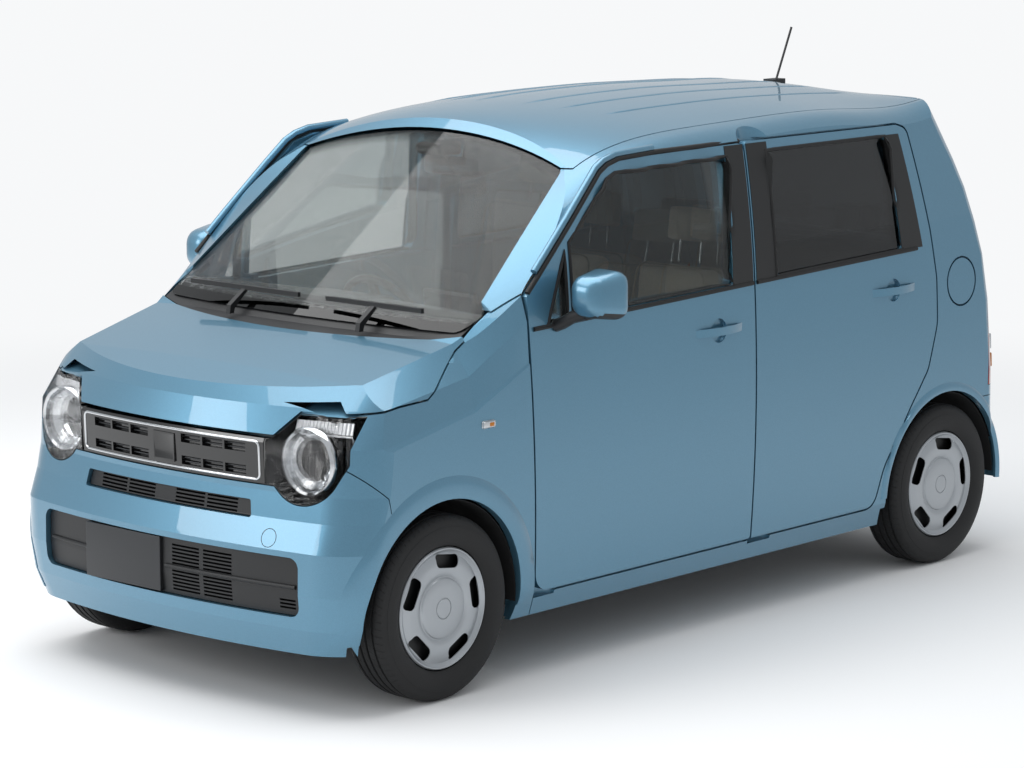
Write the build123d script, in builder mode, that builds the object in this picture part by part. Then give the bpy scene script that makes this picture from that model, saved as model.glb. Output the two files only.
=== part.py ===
from build123d import *
import os
from math import cos, hypot, radians, sin, sqrt

os.makedirs("parts", exist_ok=True)

# A small four-door box car. Millimetres. The origin is on the ground at mid length and mid width.
# +X is the car's left, +Y its rear, +Z up.

# Overall sizes
LENGTH = 3395.0
WIDTH = 1475.0
HEIGHT = 1675.0
WHEELBASE = 2520.0
TRACK = 1305.0
FRONT_OVERHANG = 478.5

# Wheels
TYRE_RADIUS = 278.5
TYRE_WIDTH = 155.0
RIM_RADIUS = 186.0
RIM_WIDTH = 126.0
ARCH_RADIUS = 328.0
WHEEL_HOUSE = 352.0
HOUSE_WALL = 8.0

# Body walls and gaps
SHUT_GAP = 7.0
LID_GAP = 6.0
TRIM_GAP = 3.0
OUTER_WALL = 25.0
DOOR_WALL = 90.0
DOOR_LAP = 25.0
SEAL_LAP = 10.0
ROOF_WALL = 45.0
WING_WALL = 22.0
BONNET_WALL = 30.0
BUMPER_WALL = 40.0
FRAME_WALL = 60.0
PANE_FRAME_WALL = 45.0
GLASS = 6.0
GLASS_SET_IN = 8.0
GLASS_BITE = 10.0

# Heights
BELT = 1062.0
SILL_FOOT = 185.0
SILL_TOP = 262.0
FLOOR = 235.0
FLOOR_WALL = 30.0
BUMPER_TOP = 560.0
CHIN_Z = 186.0

FRONT_END = -LENGTH / 2
REAR_END = LENGTH / 2
FRONT_AXLE = FRONT_END + FRONT_OVERHANG
REAR_AXLE = FRONT_AXLE + WHEELBASE
HALF = WIDTH / 2
WHEEL_X = TRACK / 2
A_POST = FRONT_AXLE + 357
B_POST = FRONT_AXLE + 1451
ABOVE = HEIGHT + 60
BELOW = SILL_FOOT - 60


# Body forms: every panel is cut from these. Outer forms follow the skin; inner ones are plainer.

# Ends in plan by height: height, setback, bow radius, corner radius, side setback
NOSE_ROWS = [
    (BELOW, 40, 3000, 190, 58),
    (SILL_TOP, 8, 3200, 180, 9),
    (365, 0, 3300, 170, 2),
    (490, 2, 3300, 170, -3),
    (575, 27, 3000, 175, -5),
    (650, 40, 2900, 180, -5),
    (790, 35, 2400, 185, -4),
    (890, 78, 1700, 190, -2),
    (BELT, 206, 1400, 190, 3),
    (ABOVE, 230, 1400, 190, 60),
]
TAIL_ROWS = [
    (BELOW, 40, 4000, 115, 58),
    (SILL_TOP, 8, 4000, 108, 9),
    (365, 0, 4000, 105, 2),
    (650, 14, 4000, 105, -5),
    (900, 38, 4000, 110, -2),
    (BELT, 68, 4000, 115, 3),
    (HEIGHT - 495, 105, 4000, 122, 12),
    (HEIGHT - 375, 152, 4000, 130, 23),
    (HEIGHT - 275, 202, 4000, 140, 36),
    (HEIGHT - 175, 257, 4000, 150, 52),
    (ABOVE, 390, 4000, 170, 88),
]
NOSE_BOW = 3100.0
TAIL_BOW = 4000.0

# Side wall section: setback from the widest point, height
SILL = [(62, BELOW), (16, SILL_TOP)]
WAIST = [(16, SILL_TOP), (0, 610), (9, BELT)]
SIDE_WINDOW = [(9, BELT), (31, HEIGHT - 359), (66, HEIGHT - 133)]

# Roof sections: place along the car, drop of the centre, drop of the rail
ROOF_RAIL_X = HALF - 137.5
ROOF_ROWS = [
    (FRONT_AXLE - 60, 290, 440),
    (FRONT_AXLE + 600, 110, 238),
    (FRONT_AXLE + 750, 64, 166),
    (FRONT_AXLE + 920, 28, 117),
    (FRONT_AXLE + 1120, 11, 93),
    (FRONT_AXLE + 1400, 2, 82),
    (REAR_AXLE - 830, 1, 74),
    (REAR_AXLE - 500, 10, 75),
    (REAR_AXLE - 66, 40, 83),
    (REAR_END + 20, 88, 128),
]
CEILING_CROWN = 2000.0
CEILING_FRONT = [(FRONT_AXLE + 460, 212), (FRONT_AXLE + 750, 113), (FRONT_AXLE + 1120, 60)]
CEILING_REAR = [(FRONT_AXLE + 1120, 60), (FRONT_AXLE + 1690, 50), (REAR_AXLE - 66, 88)]

# Windscreen surface: height, centre, glass corner x and y, pillar edge x and y
SCREEN_FOOT = (BELT + 2, FRONT_AXLE + 94, 635, FRONT_AXLE + 155, 726, FRONT_AXLE + 262)
SCREEN_HEAD = (HEIGHT - 171, FRONT_AXLE + 636, 555, FRONT_AXLE + 711, 687, FRONT_AXLE + 699)

# Bonnet and wing sections: place, centre height, shoulder x and height, edge x and height, flank
HOOD_ROWS = [
    (FRONT_END - 60, 880, 590, 866, 690, 800, 705),
    (FRONT_END + 237, 968, 612, 954, 700, 888, 790),
    (FRONT_END + 600, 1056, 640, 1040, 708, 950, 860),
    (A_POST + 62, 1216, 724, 1200, 731, 1124, 990),
]


def flip(point):
    return (-point[0], point[1])


def corner(half_width, end, bow, radius, way):
    """Arc that joins a bowed end to a straight side: its start, middle and end"""
    centre_y = end - way * bow
    arc_x = half_width - radius
    reach = way * sqrt((bow - radius) ** 2 - arc_x**2)
    stretch = bow / (bow - radius)
    start = (arc_x * stretch, centre_y + reach * stretch)
    finish = (half_width, centre_y + reach)
    out_x = start[0] - arc_x + radius
    out_y = start[1] - finish[1]
    size = hypot(out_x, out_y)
    middle = (arc_x + out_x / size * radius, finish[1] + out_y / size * radius)
    return start, middle, finish


def plan_face(half_width, end, bow, radius, way, stop):
    """Plan of one end of the car, back to a straight cut"""
    a, b, c = corner(half_width, end, bow, radius, way)
    with BuildSketch() as plan:
        with BuildLine():
            ThreePointArc(flip(a), (0, end), a)
            ThreePointArc(a, b, c)
            Line(c, (c[0], stop))
            Line((c[0], stop), (-c[0], stop))
            Line((-c[0], stop), flip(c))
            ThreePointArc(flip(c), flip(b), flip(a))
        make_face()
    return plan.sketch


def end_form(rows, way, stop):
    """One end of the car as a stack of plan sections"""
    tip = way * LENGTH / 2
    with BuildPart() as form:
        for z, back, bow, radius, side_set in rows:
            with BuildSketch(Plane.XY.offset(z)):
                add(plan_face(HALF - side_set, tip - way * back, bow, radius, way, stop))
        loft(ruled=True)
    return form.part


def plan_block(side, ends, radius, way):
    """Upright block inside one end of the car, for the back faces of its panels"""
    bow = NOSE_BOW if way < 0 else TAIL_BOW
    with BuildPart() as block:
        with BuildSketch(Plane.XY.offset(BELOW - 20)):
            add(plan_face(HALF - side, way * (LENGTH / 2 - ends), bow, radius, way, 0))
        extrude(amount=ABOVE - BELOW + 40)
    return block.part


def face_form(rows, way, depth):
    """Space behind the front or rear face, bowed in plan and set in by a depth"""
    bow = NOSE_BOW if way < 0 else TAIL_BOW
    axis_y = way * (LENGTH / 2 - bow)
    points = [(way * (LENGTH / 2 - row[1] - depth), row[0]) for row in rows]
    with BuildPart() as form:
        with BuildSketch(Plane.YZ):
            with BuildLine():
                Polyline(*points, (axis_y, points[-1][1]), (axis_y, points[0][1]), close=True)
            make_face()
        revolve(axis=Axis((0, axis_y, 0), (0, 0, 1)))
    return form.part


def wall_form(side, front=FRONT_END - 100, rear=REAR_END + 100):
    """Bar of the body's side section along the car, set in by a side wall"""
    foot, crease = [(HALF - s - side, z) for s, z in SILL]
    waist = [(HALF - s - side, z) for s, z in WAIST]
    window = [(HALF - s - side, z) for s, z in SIDE_WINDOW]
    lean = (window[2][0] - window[1][0]) / (window[2][1] - window[1][1])
    top = (window[2][0] + lean * 1.3 * (ABOVE - window[2][1]), ABOVE)
    with BuildPart() as form:
        with BuildSketch(Plane.XZ.offset(-front)):
            with BuildLine():
                Line(flip(foot), foot)
                Line(foot, crease)
                ThreePointArc(*waist)
                ThreePointArc(*window)
                Line(window[2], top)
                Line(top, flip(top))
                Line(flip(top), flip(window[2]))
                ThreePointArc(*[flip(p) for p in reversed(window)])
                ThreePointArc(*[flip(p) for p in reversed(waist)])
                Line(flip(crease), flip(foot))
            make_face()
        extrude(amount=-(rear - front))
    return form.part


def roof_form():
    """Bar of the roof's sections along the car, from below the floor to the skin"""
    out, low = HALF + 30, BELOW - 40
    with BuildPart() as form:
        for y, centre_drop, rail_drop in ROOF_ROWS:
            rail = (ROOF_RAIL_X, HEIGHT - rail_drop)
            rail_mid = (rail[0] + 62, rail[1] - 36)
            rail_end = (rail[0] + 92, rail[1] - 96)
            with BuildSketch(Plane.XZ.offset(-y)):
                with BuildLine():
                    Polyline(flip(rail_end), (-out, rail_end[1] - 50), (-out, low))
                    Polyline((-out, low), (out, low), (out, rail_end[1] - 50), rail_end)
                    ThreePointArc(rail_end, rail_mid, rail)
                    ThreePointArc(rail, (0, HEIGHT - centre_drop), flip(rail))
                    ThreePointArc(flip(rail), flip(rail_mid), flip(rail_end))
                make_face()
        loft()
    return form.part


def ceiling_form():
    """Everything under the cabin's crowned ceiling"""
    axis_z = HEIGHT - CEILING_CROWN
    front, middle, rear = [[(y, HEIGHT - drop) for y, drop in row] for row in (CEILING_FRONT, [], CEILING_REAR)]
    first = (front[0][0] - 500, front[0][1] - 330)
    last = (REAR_END + 60, rear[2][1] - 60)
    with BuildPart() as form:
        with BuildSketch(Plane.YZ):
            with BuildLine():
                Line(first, front[0])
                ThreePointArc(*front)
                ThreePointArc(*rear)
                Polyline(rear[2], last, (last[0], axis_z), (first[0], axis_z), first)
            make_face()
        revolve(axis=Axis((0, 0, axis_z), (0, 1, 0)))
    return form.part


def screen_space(wall):
    """All that lies in front of the windscreen and its pillars, brought in by a wall"""
    foot_z, foot_c, foot_gx, foot_gy, foot_px, foot_py = SCREEN_FOOT
    head_z, head_c, head_gx, head_gy, head_px, head_py = SCREEN_HEAD
    lean = (head_c - foot_c) / (head_z - foot_z)
    back = wall * hypot(1, lean)
    out = HALF + 80
    with BuildPart() as form:
        for z in (BELT - 70, HEIGHT + 60):
            t = (z - foot_z) / (head_z - foot_z)
            centre = foot_c + t * (head_c - foot_c) + back
            gx = foot_gx + t * (head_gx - foot_gx)
            gy = foot_gy + t * (head_gy - foot_gy) + back
            px = foot_px + t * (head_px - foot_px)
            py = foot_py + t * (head_py - foot_py) + back
            edge = (out, py + (out - px) * (py - gy) / (px - gx))
            with BuildSketch(Plane.XY.offset(z)):
                with BuildLine():
                    ThreePointArc((-gx, gy), (0, centre), (gx, gy))
                    Polyline((gx, gy), edge, (out, FRONT_END - 200), (-out, FRONT_END - 200))
                    Polyline((-out, FRONT_END - 200), flip(edge), (-gx, gy))
                make_face()
        loft(ruled=True)
    return form.part


def hood_form(wall):
    """Bonnet and wings as one bar, narrowing and falling to the front"""
    low = BELOW - 20
    with BuildPart() as form:
        for y, centre, sx, sz, ex, ez, foot in HOOD_ROWS:
            with BuildSketch(Plane.XZ.offset(-y)):
                out = HALF + 40 - wall
                shoulder = (sx - wall, sz - wall)
                edge = (ex - wall, ez - wall)
                flank = (HALF - 8 - wall, foot - wall)
                with BuildLine():
                    ThreePointArc(flip(shoulder), (0, centre - wall), shoulder)
                    Polyline(shoulder, edge, flank, (out, foot - 80 - wall), (out, low), (-out, low))
                    Polyline((-out, low), (-out, foot - 80 - wall), flip(flank), flip(edge), flip(shoulder))
                make_face()
        loft(ruled=True)
    return form.part


def slab(x0, x1, y0, y1, z0, z1):
    """Plain block between two corners"""
    with BuildPart() as block:
        with Locations(((x0 + x1) / 2, (y0 + y1) / 2, (z0 + z1) / 2)):
            Box(x1 - x0, y1 - y0, z1 - z0)
    return block.part


def common(first, *others):
    """What several forms share"""
    with BuildPart() as result:
        add(first)
        for other in others:
            add(other, mode=Mode.INTERSECT, clean=False)
    return result.part


def less(first, *others):
    """One form with others taken out of it"""
    with BuildPart() as result:
        add(first)
        for other in others:
            add(other, mode=Mode.SUBTRACT, clean=False)
    return result.part


def both(piece):
    """A left piece and its mirrored twin as one node"""
    with BuildPart() as pair:
        add(piece)
        add(mirror(piece, about=Plane.YZ), clean=False)
    return pair.part


def side_prism(outline, start=400.0, far=HALF + 60):
    """A side view outline carried across the left half of the car"""
    with BuildPart() as prism:
        with BuildSketch(Plane.YZ.offset(start)):
            add(outline)
        extrude(amount=far - start)
    return prism.part


def front_prism(outline, start, far):
    """A front view outline carried along the car"""
    with BuildPart() as prism:
        with BuildSketch(Plane.XZ.offset(-start)):
            add(outline)
        extrude(amount=-(far - start))
    return prism.part


def axle_drum(y, radius, x0, x1):
    """Round wheel space between two planes"""
    with BuildPart() as drum:
        with BuildSketch(Plane.YZ.offset(x0)):
            with Locations((y, TYRE_RADIUS)):
                Circle(radius)
        extrude(amount=x1 - x0)
    return drum.part


def outline(points, rounds=(), grow=0.0):
    """Closed outline with some corners rounded: rounds lists corner number and radius"""
    with BuildSketch() as sketch:
        with BuildLine():
            Polyline(*points, close=True)
        make_face()
        for index, radius in rounds:
            corner_point = sketch.vertices().sort_by_distance(Vector(*points[index]))[0]
            fillet(corner_point, radius)
        if grow:
            offset(amount=grow, kind=Kind.INTERSECTION)
    return sketch.sketch


def room(x0, x1):
    """The cabin's inside between two planes"""
    block = slab(x0, x1, A_POST - 300, REAR_END + 50, BELOW - 20, HEIGHT + 20)
    return less(common(block, WALL_INNER, CEILING, TAIL_INSIDE), screen_space(ROOF_WALL))


# Forms shared by the panels
NOSE = end_form(NOSE_ROWS, -1, A_POST + 200)
TAIL = end_form(TAIL_ROWS, 1, A_POST - 200)
HOOD = hood_form(0)
ROOF_BAR = roof_form()
SKIN = wall_form(0)
WALL_OUTER = wall_form(OUTER_WALL)
WALL_LAND = wall_form(OUTER_WALL + SHUT_GAP)
WALL_INNER = wall_form(DOOR_WALL)
SCREEN = screen_space(0)
CEILING = ceiling_form()
TAIL_INSIDE = face_form(TAIL_ROWS, 1, FRAME_WALL)


# Side view outlines of the doors, the boxes inside them, and their glass
WING_LINE_FOOT = (A_POST + 41, SILL_TOP + 24)
WING_LINE_HEAD = (A_POST, 1169)
DOOR_TOP = HEIGHT - 136
FRONT_DOOR_POINTS = [
    (A_POST + 45, SILL_TOP - 4),
    (B_POST - SHUT_GAP / 2, SILL_TOP - 4),
    (B_POST - SHUT_GAP / 2, DOOR_TOP),
    (A_POST + 480, DOOR_TOP - 8),
    (A_POST + 395, DOOR_TOP - 32),
    (A_POST + 4, 1162),
]
REAR_DOOR_POINTS = [
    (B_POST + SHUT_GAP / 2, SILL_TOP - 4),
    (REAR_AXLE - 400, SILL_TOP - 4),
    (REAR_AXLE - 354, 392),
    (REAR_AXLE - 214, 582),
    (REAR_AXLE - 118, 700),
    (REAR_AXLE - 68, 850),
    (REAR_AXLE - 70, 1010),
    (REAR_AXLE - 101, 1177),
    (REAR_AXLE - 188, DOOR_TOP - 16),
    (REAR_AXLE - 240, DOOR_TOP),
    (B_POST + SHUT_GAP / 2, DOOR_TOP + 3),
]
FRONT_DOOR_ROUNDS = [(0, 60), (1, 12), (2, 30), (3, 60), (4, 60)]
REAR_DOOR_ROUNDS = [(1, 60), (2, 200), (4, 90), (5, 120), (6, 200), (8, 40), (10, 20)]

# Centre pillar: its half width inside, and the doors' boxes beside it
PILLAR_HALF = 40.0
PILLAR_BOX_HALF = 57.0
BELT_RISE = 0.029
DIVIDER = 24.0
MIRROR_POST = A_POST + 196


def belt_height(y):
    return BELT + 6 + BELT_RISE * (y - A_POST)


PANES = {
    "quarter": [
        (A_POST + 92, belt_height(A_POST + 92)),
        (MIRROR_POST - DIVIDER / 2, belt_height(MIRROR_POST)),
        (MIRROR_POST - DIVIDER / 2, 1281),
    ],
    "front": [
        (MIRROR_POST + DIVIDER / 2, belt_height(MIRROR_POST)),
        (B_POST - 106, belt_height(B_POST - 106)),
        (B_POST - 94, DOOR_TOP - 36),
        (A_POST + 452, DOOR_TOP - 46),
        (A_POST + 410, DOOR_TOP - 62),
        (MIRROR_POST + DIVIDER / 2, 1304),
    ],
    "rear": [
        (B_POST + 114, belt_height(B_POST + 114)),
        (REAR_AXLE - 258, belt_height(REAR_AXLE - 258)),
        (REAR_AXLE - 312, DOOR_TOP - 32),
        (B_POST + 110, DOOR_TOP - 32),
    ],
}
PANE_ROUNDS = {
    "quarter": [(0, 8), (2, 8)],
    "front": [(1, 25), (2, 25), (3, 20)],
    "rear": [(0, 25), (1, 25), (2, 25), (3, 25)],
}


def door_outline(name, grow=0.0, pillar=0.0):
    """Side view of a door; pillar is how far it stays from the middle of the centre pillar"""
    front = name == "front"
    points, rounds = (FRONT_DOOR_POINTS, FRONT_DOOR_ROUNDS) if front else (REAR_DOOR_POINTS, REAR_DOOR_ROUNDS)
    with BuildSketch() as sketch:
        add(outline(points, rounds, grow))
        if pillar:
            edge = B_POST + (-pillar if front else pillar)
            with Locations((edge, 900)):
                Rectangle(3000, 3000, align=(Align.MAX if front else Align.MIN, Align.CENTER), mode=Mode.INTERSECT)
    return sketch.sketch


def pane_prism(name, grow=0.0):
    return side_prism(outline(PANES[name], PANE_ROUNDS[name], grow))


def pane(name):
    """One side glass, let into its frame all round"""
    sheet = common(pane_prism(name, GLASS_BITE), wall_form(GLASS_SET_IN))
    return less(sheet, wall_form(GLASS_SET_IN + GLASS))


QUARTER_PANE = pane("quarter")
FRONT_PANE = pane("front")
REAR_PANE = pane("rear")

# Door handles over a round dish
HANDLE_LENGTH = 262.0
HANDLE_HEIGHT = 26.0
HANDLE_PROUD = 22.0
DISH_RADIUS = 46.0
DISH_DEPTH = 16.0
FRONT_HANDLE = (A_POST + 905, 961)
REAR_HANDLE = (REAR_AXLE - 317, 992)


def handle(y, z):
    """Bow handle with its two feet on the outer panel"""
    inner, outer, half = HALF - 10, HALF + HANDLE_PROUD - 4, HANDLE_LENGTH / 2
    with BuildPart() as grip:
        with BuildSketch(Plane.XY.offset(z - HANDLE_HEIGHT / 2)):
            with BuildLine():
                Polyline(
                    (inner, y - half),
                    (inner, y - half + 30),
                    (outer - 12, y - half + 52),
                    (outer - 12, y + half - 52),
                    (inner, y + half - 30),
                    (inner, y + half),
                )
                ThreePointArc((inner, y + half), (outer, y), (inner, y - half))
            make_face()
        extrude(amount=HANDLE_HEIGHT)
    return grip.part


def dish(y, z):
    with BuildPart() as cut:
        with BuildSketch(Plane.YZ.offset(HALF + 30)):
            with Locations((y, z)):
                Circle(DISH_RADIUS)
        extrude(amount=-30 - DISH_DEPTH, taper=12)
    return cut.part


def door(name, panes, handle_place):
    """Left door: outer panel, box set in from it, and a thinner frame round the glass"""
    plate = less(common(side_prism(door_outline(name)), SKIN), WALL_OUTER)
    box = less(common(side_prism(door_outline(name, -DOOR_LAP, PILLAR_BOX_HALF)), WALL_OUTER), WALL_INNER)
    above_belt = common(slab(400, HALF, FRONT_AXLE, REAR_AXLE, BELT + 25, HEIGHT), wall_form(PANE_FRAME_WALL))
    with BuildPart() as leaf:
        add(plate)
        add(less(box, above_belt))
        for glass_name, glass in panes.items():
            add(pane_prism(glass_name), mode=Mode.SUBTRACT, clean=False)
            add(glass, mode=Mode.SUBTRACT, clean=False)
        add(dish(*handle_place), mode=Mode.SUBTRACT, clean=False)
        add(handle(*handle_place), clean=False)
    return leaf.part


# Doors
with BuildPart() as door_front_left:
    add(door("front", {"quarter": QUARTER_PANE, "front": FRONT_PANE}, FRONT_HANDLE))

with BuildPart() as door_rear_left:
    add(door("rear", {"rear": REAR_PANE}, REAR_HANDLE))

with BuildPart() as glass_front_left:
    add(QUARTER_PANE)
    add(FRONT_PANE)

with BuildPart() as glass_rear_left:
    add(REAR_PANE)


# Body sides: sills, pillars and quarters in one pressing each
ROOF_SIDE_X = 585.0
ROOF_FRONT_Z = HEIGHT - 172
ROOF_DITCH = 4.0
TAIL_SPLIT = REAR_AXLE + 22
WING_LAND = WING_WALL + SHUT_GAP
HINGE_POST = 90.0
HOUSE_X = 390.0
REAR_HOUSE_X = 492.0
COWL_X = 640.0
FLAP = (REAR_AXLE + 80, 982, 83.5)
FLAP_DEPTH = 30.0
FLAP_WALL = 12.0
TAIL_LAMP_X = 612.0
TAIL_LAMP_Z = (600, 935)
TAIL_LAMP_LENGTH = 145.0
TAIL_GATE_X = (566, 604, 560)

# Hinge axes of the doors, and the room their front edges swing in
FRONT_DOOR_HINGE = (HALF - 12, A_POST + 85)
REAR_DOOR_HINGE = (HALF - 12, B_POST + 48)
FRONT_SWING = [(0, 240), (52, 240), (92, 1165), (18, 1248), (0, 1248)]
REAR_SWING = [(0, 240), (60, 240), (56, BELT), (70, HEIGHT - 359), (98, HEIGHT - 75), (0, HEIGHT - 75)]


def swing_room(axis, profile):
    """Turned space about a door's hinge axis"""
    with BuildPart() as room:
        with BuildSketch(Plane.XZ):
            with BuildLine():
                Polyline(*profile, close=True)
            make_face()
        revolve(axis=Axis.Z)
    return Pos(*axis) * room.part


def screen_outline(grow=0.0):
    """Front view of the windscreen opening"""
    right, top = (COWL_X, BELT + 14), (556, HEIGHT - 171)
    with BuildSketch() as sketch:
        with BuildLine():
            Line(flip(right), right)
            Line(right, top)
            ThreePointArc(top, (0, HEIGHT - 82), flip(top))
            Line(flip(top), flip(right))
        make_face()
        fillet(sketch.vertices(), 30)
        if grow:
            offset(amount=grow, kind=Kind.INTERSECTION)
    return sketch.sketch


def tailgate_outline(grow=0.0):
    """Rear view of the tailgate, from the bumper over the roof's end"""
    foot, waist, head = TAIL_GATE_X
    points = [
        (-foot, BUMPER_TOP + SHUT_GAP),
        (foot, BUMPER_TOP + SHUT_GAP),
        (waist, BELT - 60),
        (head, HEIGHT - 80),
        (head, HEIGHT + 80),
        (-head, HEIGHT + 80),
        (-head, HEIGHT - 80),
        (-waist, BELT - 60),
    ]
    return outline(points, [(0, 40), (1, 40), (2, 200), (7, 200)], grow)


def wing_line(z):
    """Place of the cut between wing and front door at a height"""
    (y0, z0), (y1, z1) = WING_LINE_FOOT, WING_LINE_HEAD
    return y0 + (z - z0) * (y1 - y0) / (z1 - z0)


def ahead_of_doors(gap):
    """Everything in front of the wing to door cut, on the left"""
    low, high = BELOW, HEIGHT + 100
    points = [
        (FRONT_END - 200, low),
        (wing_line(low) - gap, low),
        (wing_line(high) - gap, high),
        (FRONT_END - 200, high),
    ]
    return side_prism(outline(points), 0, HALF + 60)


SCREEN_PRISM = front_prism(screen_outline(), FRONT_AXLE, A_POST + 600)
with BuildPart() as windscreen:
    add(common(front_prism(screen_outline(GLASS_BITE), FRONT_AXLE, A_POST + 600), screen_space(GLASS_SET_IN + GLASS)))
    add(screen_space(GLASS_SET_IN), mode=Mode.SUBTRACT)

UNDER_WING = less(common(ahead_of_doors(0), hood_form(-4)), common(hood_form(WING_LAND), wall_form(WING_LAND)))

with BuildPart() as body_side_left:
    add(slab(500, HALF + 10, A_POST - HINGE_POST, REAR_END + 10, SILL_FOOT, HEIGHT))
    for form in (SKIN, ROOF_BAR, TAIL):
        add(form, mode=Mode.INTERSECT, clean=False)
    cuts = [room(300, HALF + 160), SCREEN, UNDER_WING, SCREEN_PRISM, windscreen.part]
    cuts.append(slab(400, COWL_X + 8, FRONT_AXLE, A_POST + 60, BELOW, BELT + 10))
    cuts.append(common(ahead_of_doors(0), slab(694, HALF + 20, FRONT_AXLE, A_POST + 60, 800, BELT + 100)))
    cuts.append(slab(400, ROOF_SIDE_X, FRONT_AXLE, TAIL_SPLIT, ROOF_FRONT_Z, HEIGHT + 20))
    cuts.append(front_prism(tailgate_outline(SHUT_GAP), TAIL_SPLIT, REAR_END + 50))
    cuts.append(slab(0, HALF + 20, REAR_AXLE + 200, REAR_END + 20, 0, BUMPER_TOP + TRIM_GAP))
    lamp_end = REAR_END - TAIL_LAMP_LENGTH - TRIM_GAP
    low, high = TAIL_LAMP_Z
    cuts.append(slab(TAIL_LAMP_X - TRIM_GAP, HALF + 20, lamp_end, REAR_END + 20, low - TRIM_GAP, high + TRIM_GAP))
    for name in ("front", "rear"):
        cuts.append(side_prism(door_outline(name, -SEAL_LAP, PILLAR_HALF)))
        cuts.append(less(side_prism(door_outline(name, SHUT_GAP)), WALL_LAND))
    cuts.append(swing_room(FRONT_DOOR_HINGE, FRONT_SWING))
    cuts.append(swing_room(REAR_DOOR_HINGE, REAR_SWING))
    cuts.append(axle_drum(REAR_AXLE, ARCH_RADIUS, 400, HALF + 20))
    cuts.append(axle_drum(REAR_AXLE, WHEEL_HOUSE, 400, HALF - WING_WALL))
    cuts.append(axle_drum(FRONT_AXLE, WHEEL_HOUSE, 400, HALF + 20))
    flap_y, flap_z, flap_radius = FLAP
    with BuildPart() as flap_hole:
        with BuildSketch(Plane.YZ.offset(500)):
            with Locations((flap_y, flap_z)):
                Circle(flap_radius + SHUT_GAP / 2)
        extrude(amount=HALF)
    cuts.append(less(flap_hole.part, wall_form(FLAP_DEPTH)))
    for cut in cuts:
        add(cut, mode=Mode.SUBTRACT, clean=False)

with BuildPart() as fuel_flap:
    with BuildSketch(Plane.YZ.offset(500)):
        with Locations((flap_y, flap_z)):
            Circle(flap_radius - SHUT_GAP / 2)
    extrude(amount=HALF)
    add(SKIN, mode=Mode.INTERSECT)
    add(wall_form(FLAP_WALL), mode=Mode.SUBTRACT)

# Roof panel between the sides, with its header
with BuildPart() as roof:
    side = ROOF_SIDE_X - ROOF_DITCH
    add(slab(-side, side, FRONT_AXLE, TAIL_SPLIT, ROOF_FRONT_Z + ROOF_DITCH, HEIGHT + 20))
    add(ROOF_BAR, mode=Mode.INTERSECT, clean=False)
    for cut in (CEILING, SCREEN, SCREEN_PRISM, windscreen.part):
        add(cut, mode=Mode.SUBTRACT, clean=False)


# Nose: bonnet, wings, bumper, lamps and grilles
LAMP_CENTRE = (530, 743)
LAMP_RADIUS = 122.0
LAMP_OUT_X = 668.0
LAMP_TOP = 876.0
LAMP_REAR = FRONT_AXLE - 246
LAMP_BACK = 110.0
GRILLE_X = 395.0
GRILLE_FOOT = 668.0
GRILLE_TOP = 802.0
BONNET_CORNER = (650, A_POST - 200)
BONNET_REAR_CENTRE = A_POST - 323
SEAM = [
    (FRONT_END - 60, 736),
    (FRONT_AXLE - 352, 736),
    (FRONT_AXLE - 247, 644),
    (FRONT_AXLE - 212, 500),
    (FRONT_AXLE - 200, 300),
    (FRONT_AXLE - 200, 100),
    (FRONT_END - 60, 100),
]
BONNET_SIDE = [
    (FRONT_END - 60, 875),
    (FRONT_AXLE - 311, 875),
    (FRONT_AXLE - 166, 894),
    (FRONT_AXLE - 52, 901),
    (FRONT_AXLE - 4, 931),
    (BONNET_CORNER[1], 1042),
    (BONNET_CORNER[1], 1300),
    (FRONT_END - 60, 1300),
]


def lamp_outline(grow=0.0):
    """Front view of the left headlamp: round below, with a slanted inner shoulder"""
    cx, cz = LAMP_CENTRE
    low_in = (cx + LAMP_RADIUS * cos(radians(218)), cz + LAMP_RADIUS * sin(radians(218)))
    low_out = (cx + LAMP_RADIUS * cos(radians(330)), cz + LAMP_RADIUS * sin(radians(330)))
    inner = GRILLE_X + TRIM_GAP
    with BuildSketch() as sketch:
        with BuildLine():
            Line((inner, GRILLE_FOOT), low_in)
            ThreePointArc(low_in, (cx, cz - LAMP_RADIUS), low_out)
            Polyline(low_out, (LAMP_OUT_X, 745), (LAMP_OUT_X, LAMP_TOP), (478, LAMP_TOP), (414, GRILLE_TOP))
            Polyline((414, GRILLE_TOP), (inner, GRILLE_TOP), (inner, GRILLE_FOOT))
        make_face()
        if grow:
            offset(amount=grow, kind=Kind.INTERSECTION)
    return sketch.sketch


def lamp_prism(grow=0.0):
    return front_prism(lamp_outline(grow), FRONT_END - 50, LAMP_REAR + grow)


def bonnet_block(grow):
    """Space of the bonnet, grown by the gap all round"""
    cx, cy = BONNET_CORNER
    lift = LID_GAP - grow
    with BuildPart() as space:
        with BuildSketch(Plane.YZ.offset(-HALF - 60)):
            add(outline([(y, z + lift) for y, z in BONNET_SIDE]))
        extrude(amount=WIDTH + 120)
        with BuildSketch(Plane.XY.offset(700)):
            with BuildLine():
                front = FRONT_END - 80
                Polyline((-HALF, cy + grow), (-HALF, front), (HALF, front), (HALF, cy + grow), (cx, cy + grow))
                ThreePointArc((cx, cy + grow), (0, BONNET_REAR_CENTRE + grow), (-cx, cy + grow))
                Line((-cx, cy + grow), (-HALF, cy + grow))
            make_face()
        extrude(amount=700, mode=Mode.INTERSECT)
        with BuildSketch(Plane.XZ.offset(-FRONT_END + 80)):
            with BuildLine():
                low = GRILLE_TOP + 5 + lift
                half = 478 + grow
                Polyline((-half, LAMP_TOP + lift + 1), (half, LAMP_TOP + lift + 1), (418 + grow, low))
                Polyline((418 + grow, low), (-418 - grow, low), (-half, LAMP_TOP + lift + 1))
            make_face()
        extrude(amount=-400)
    return space.part


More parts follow.
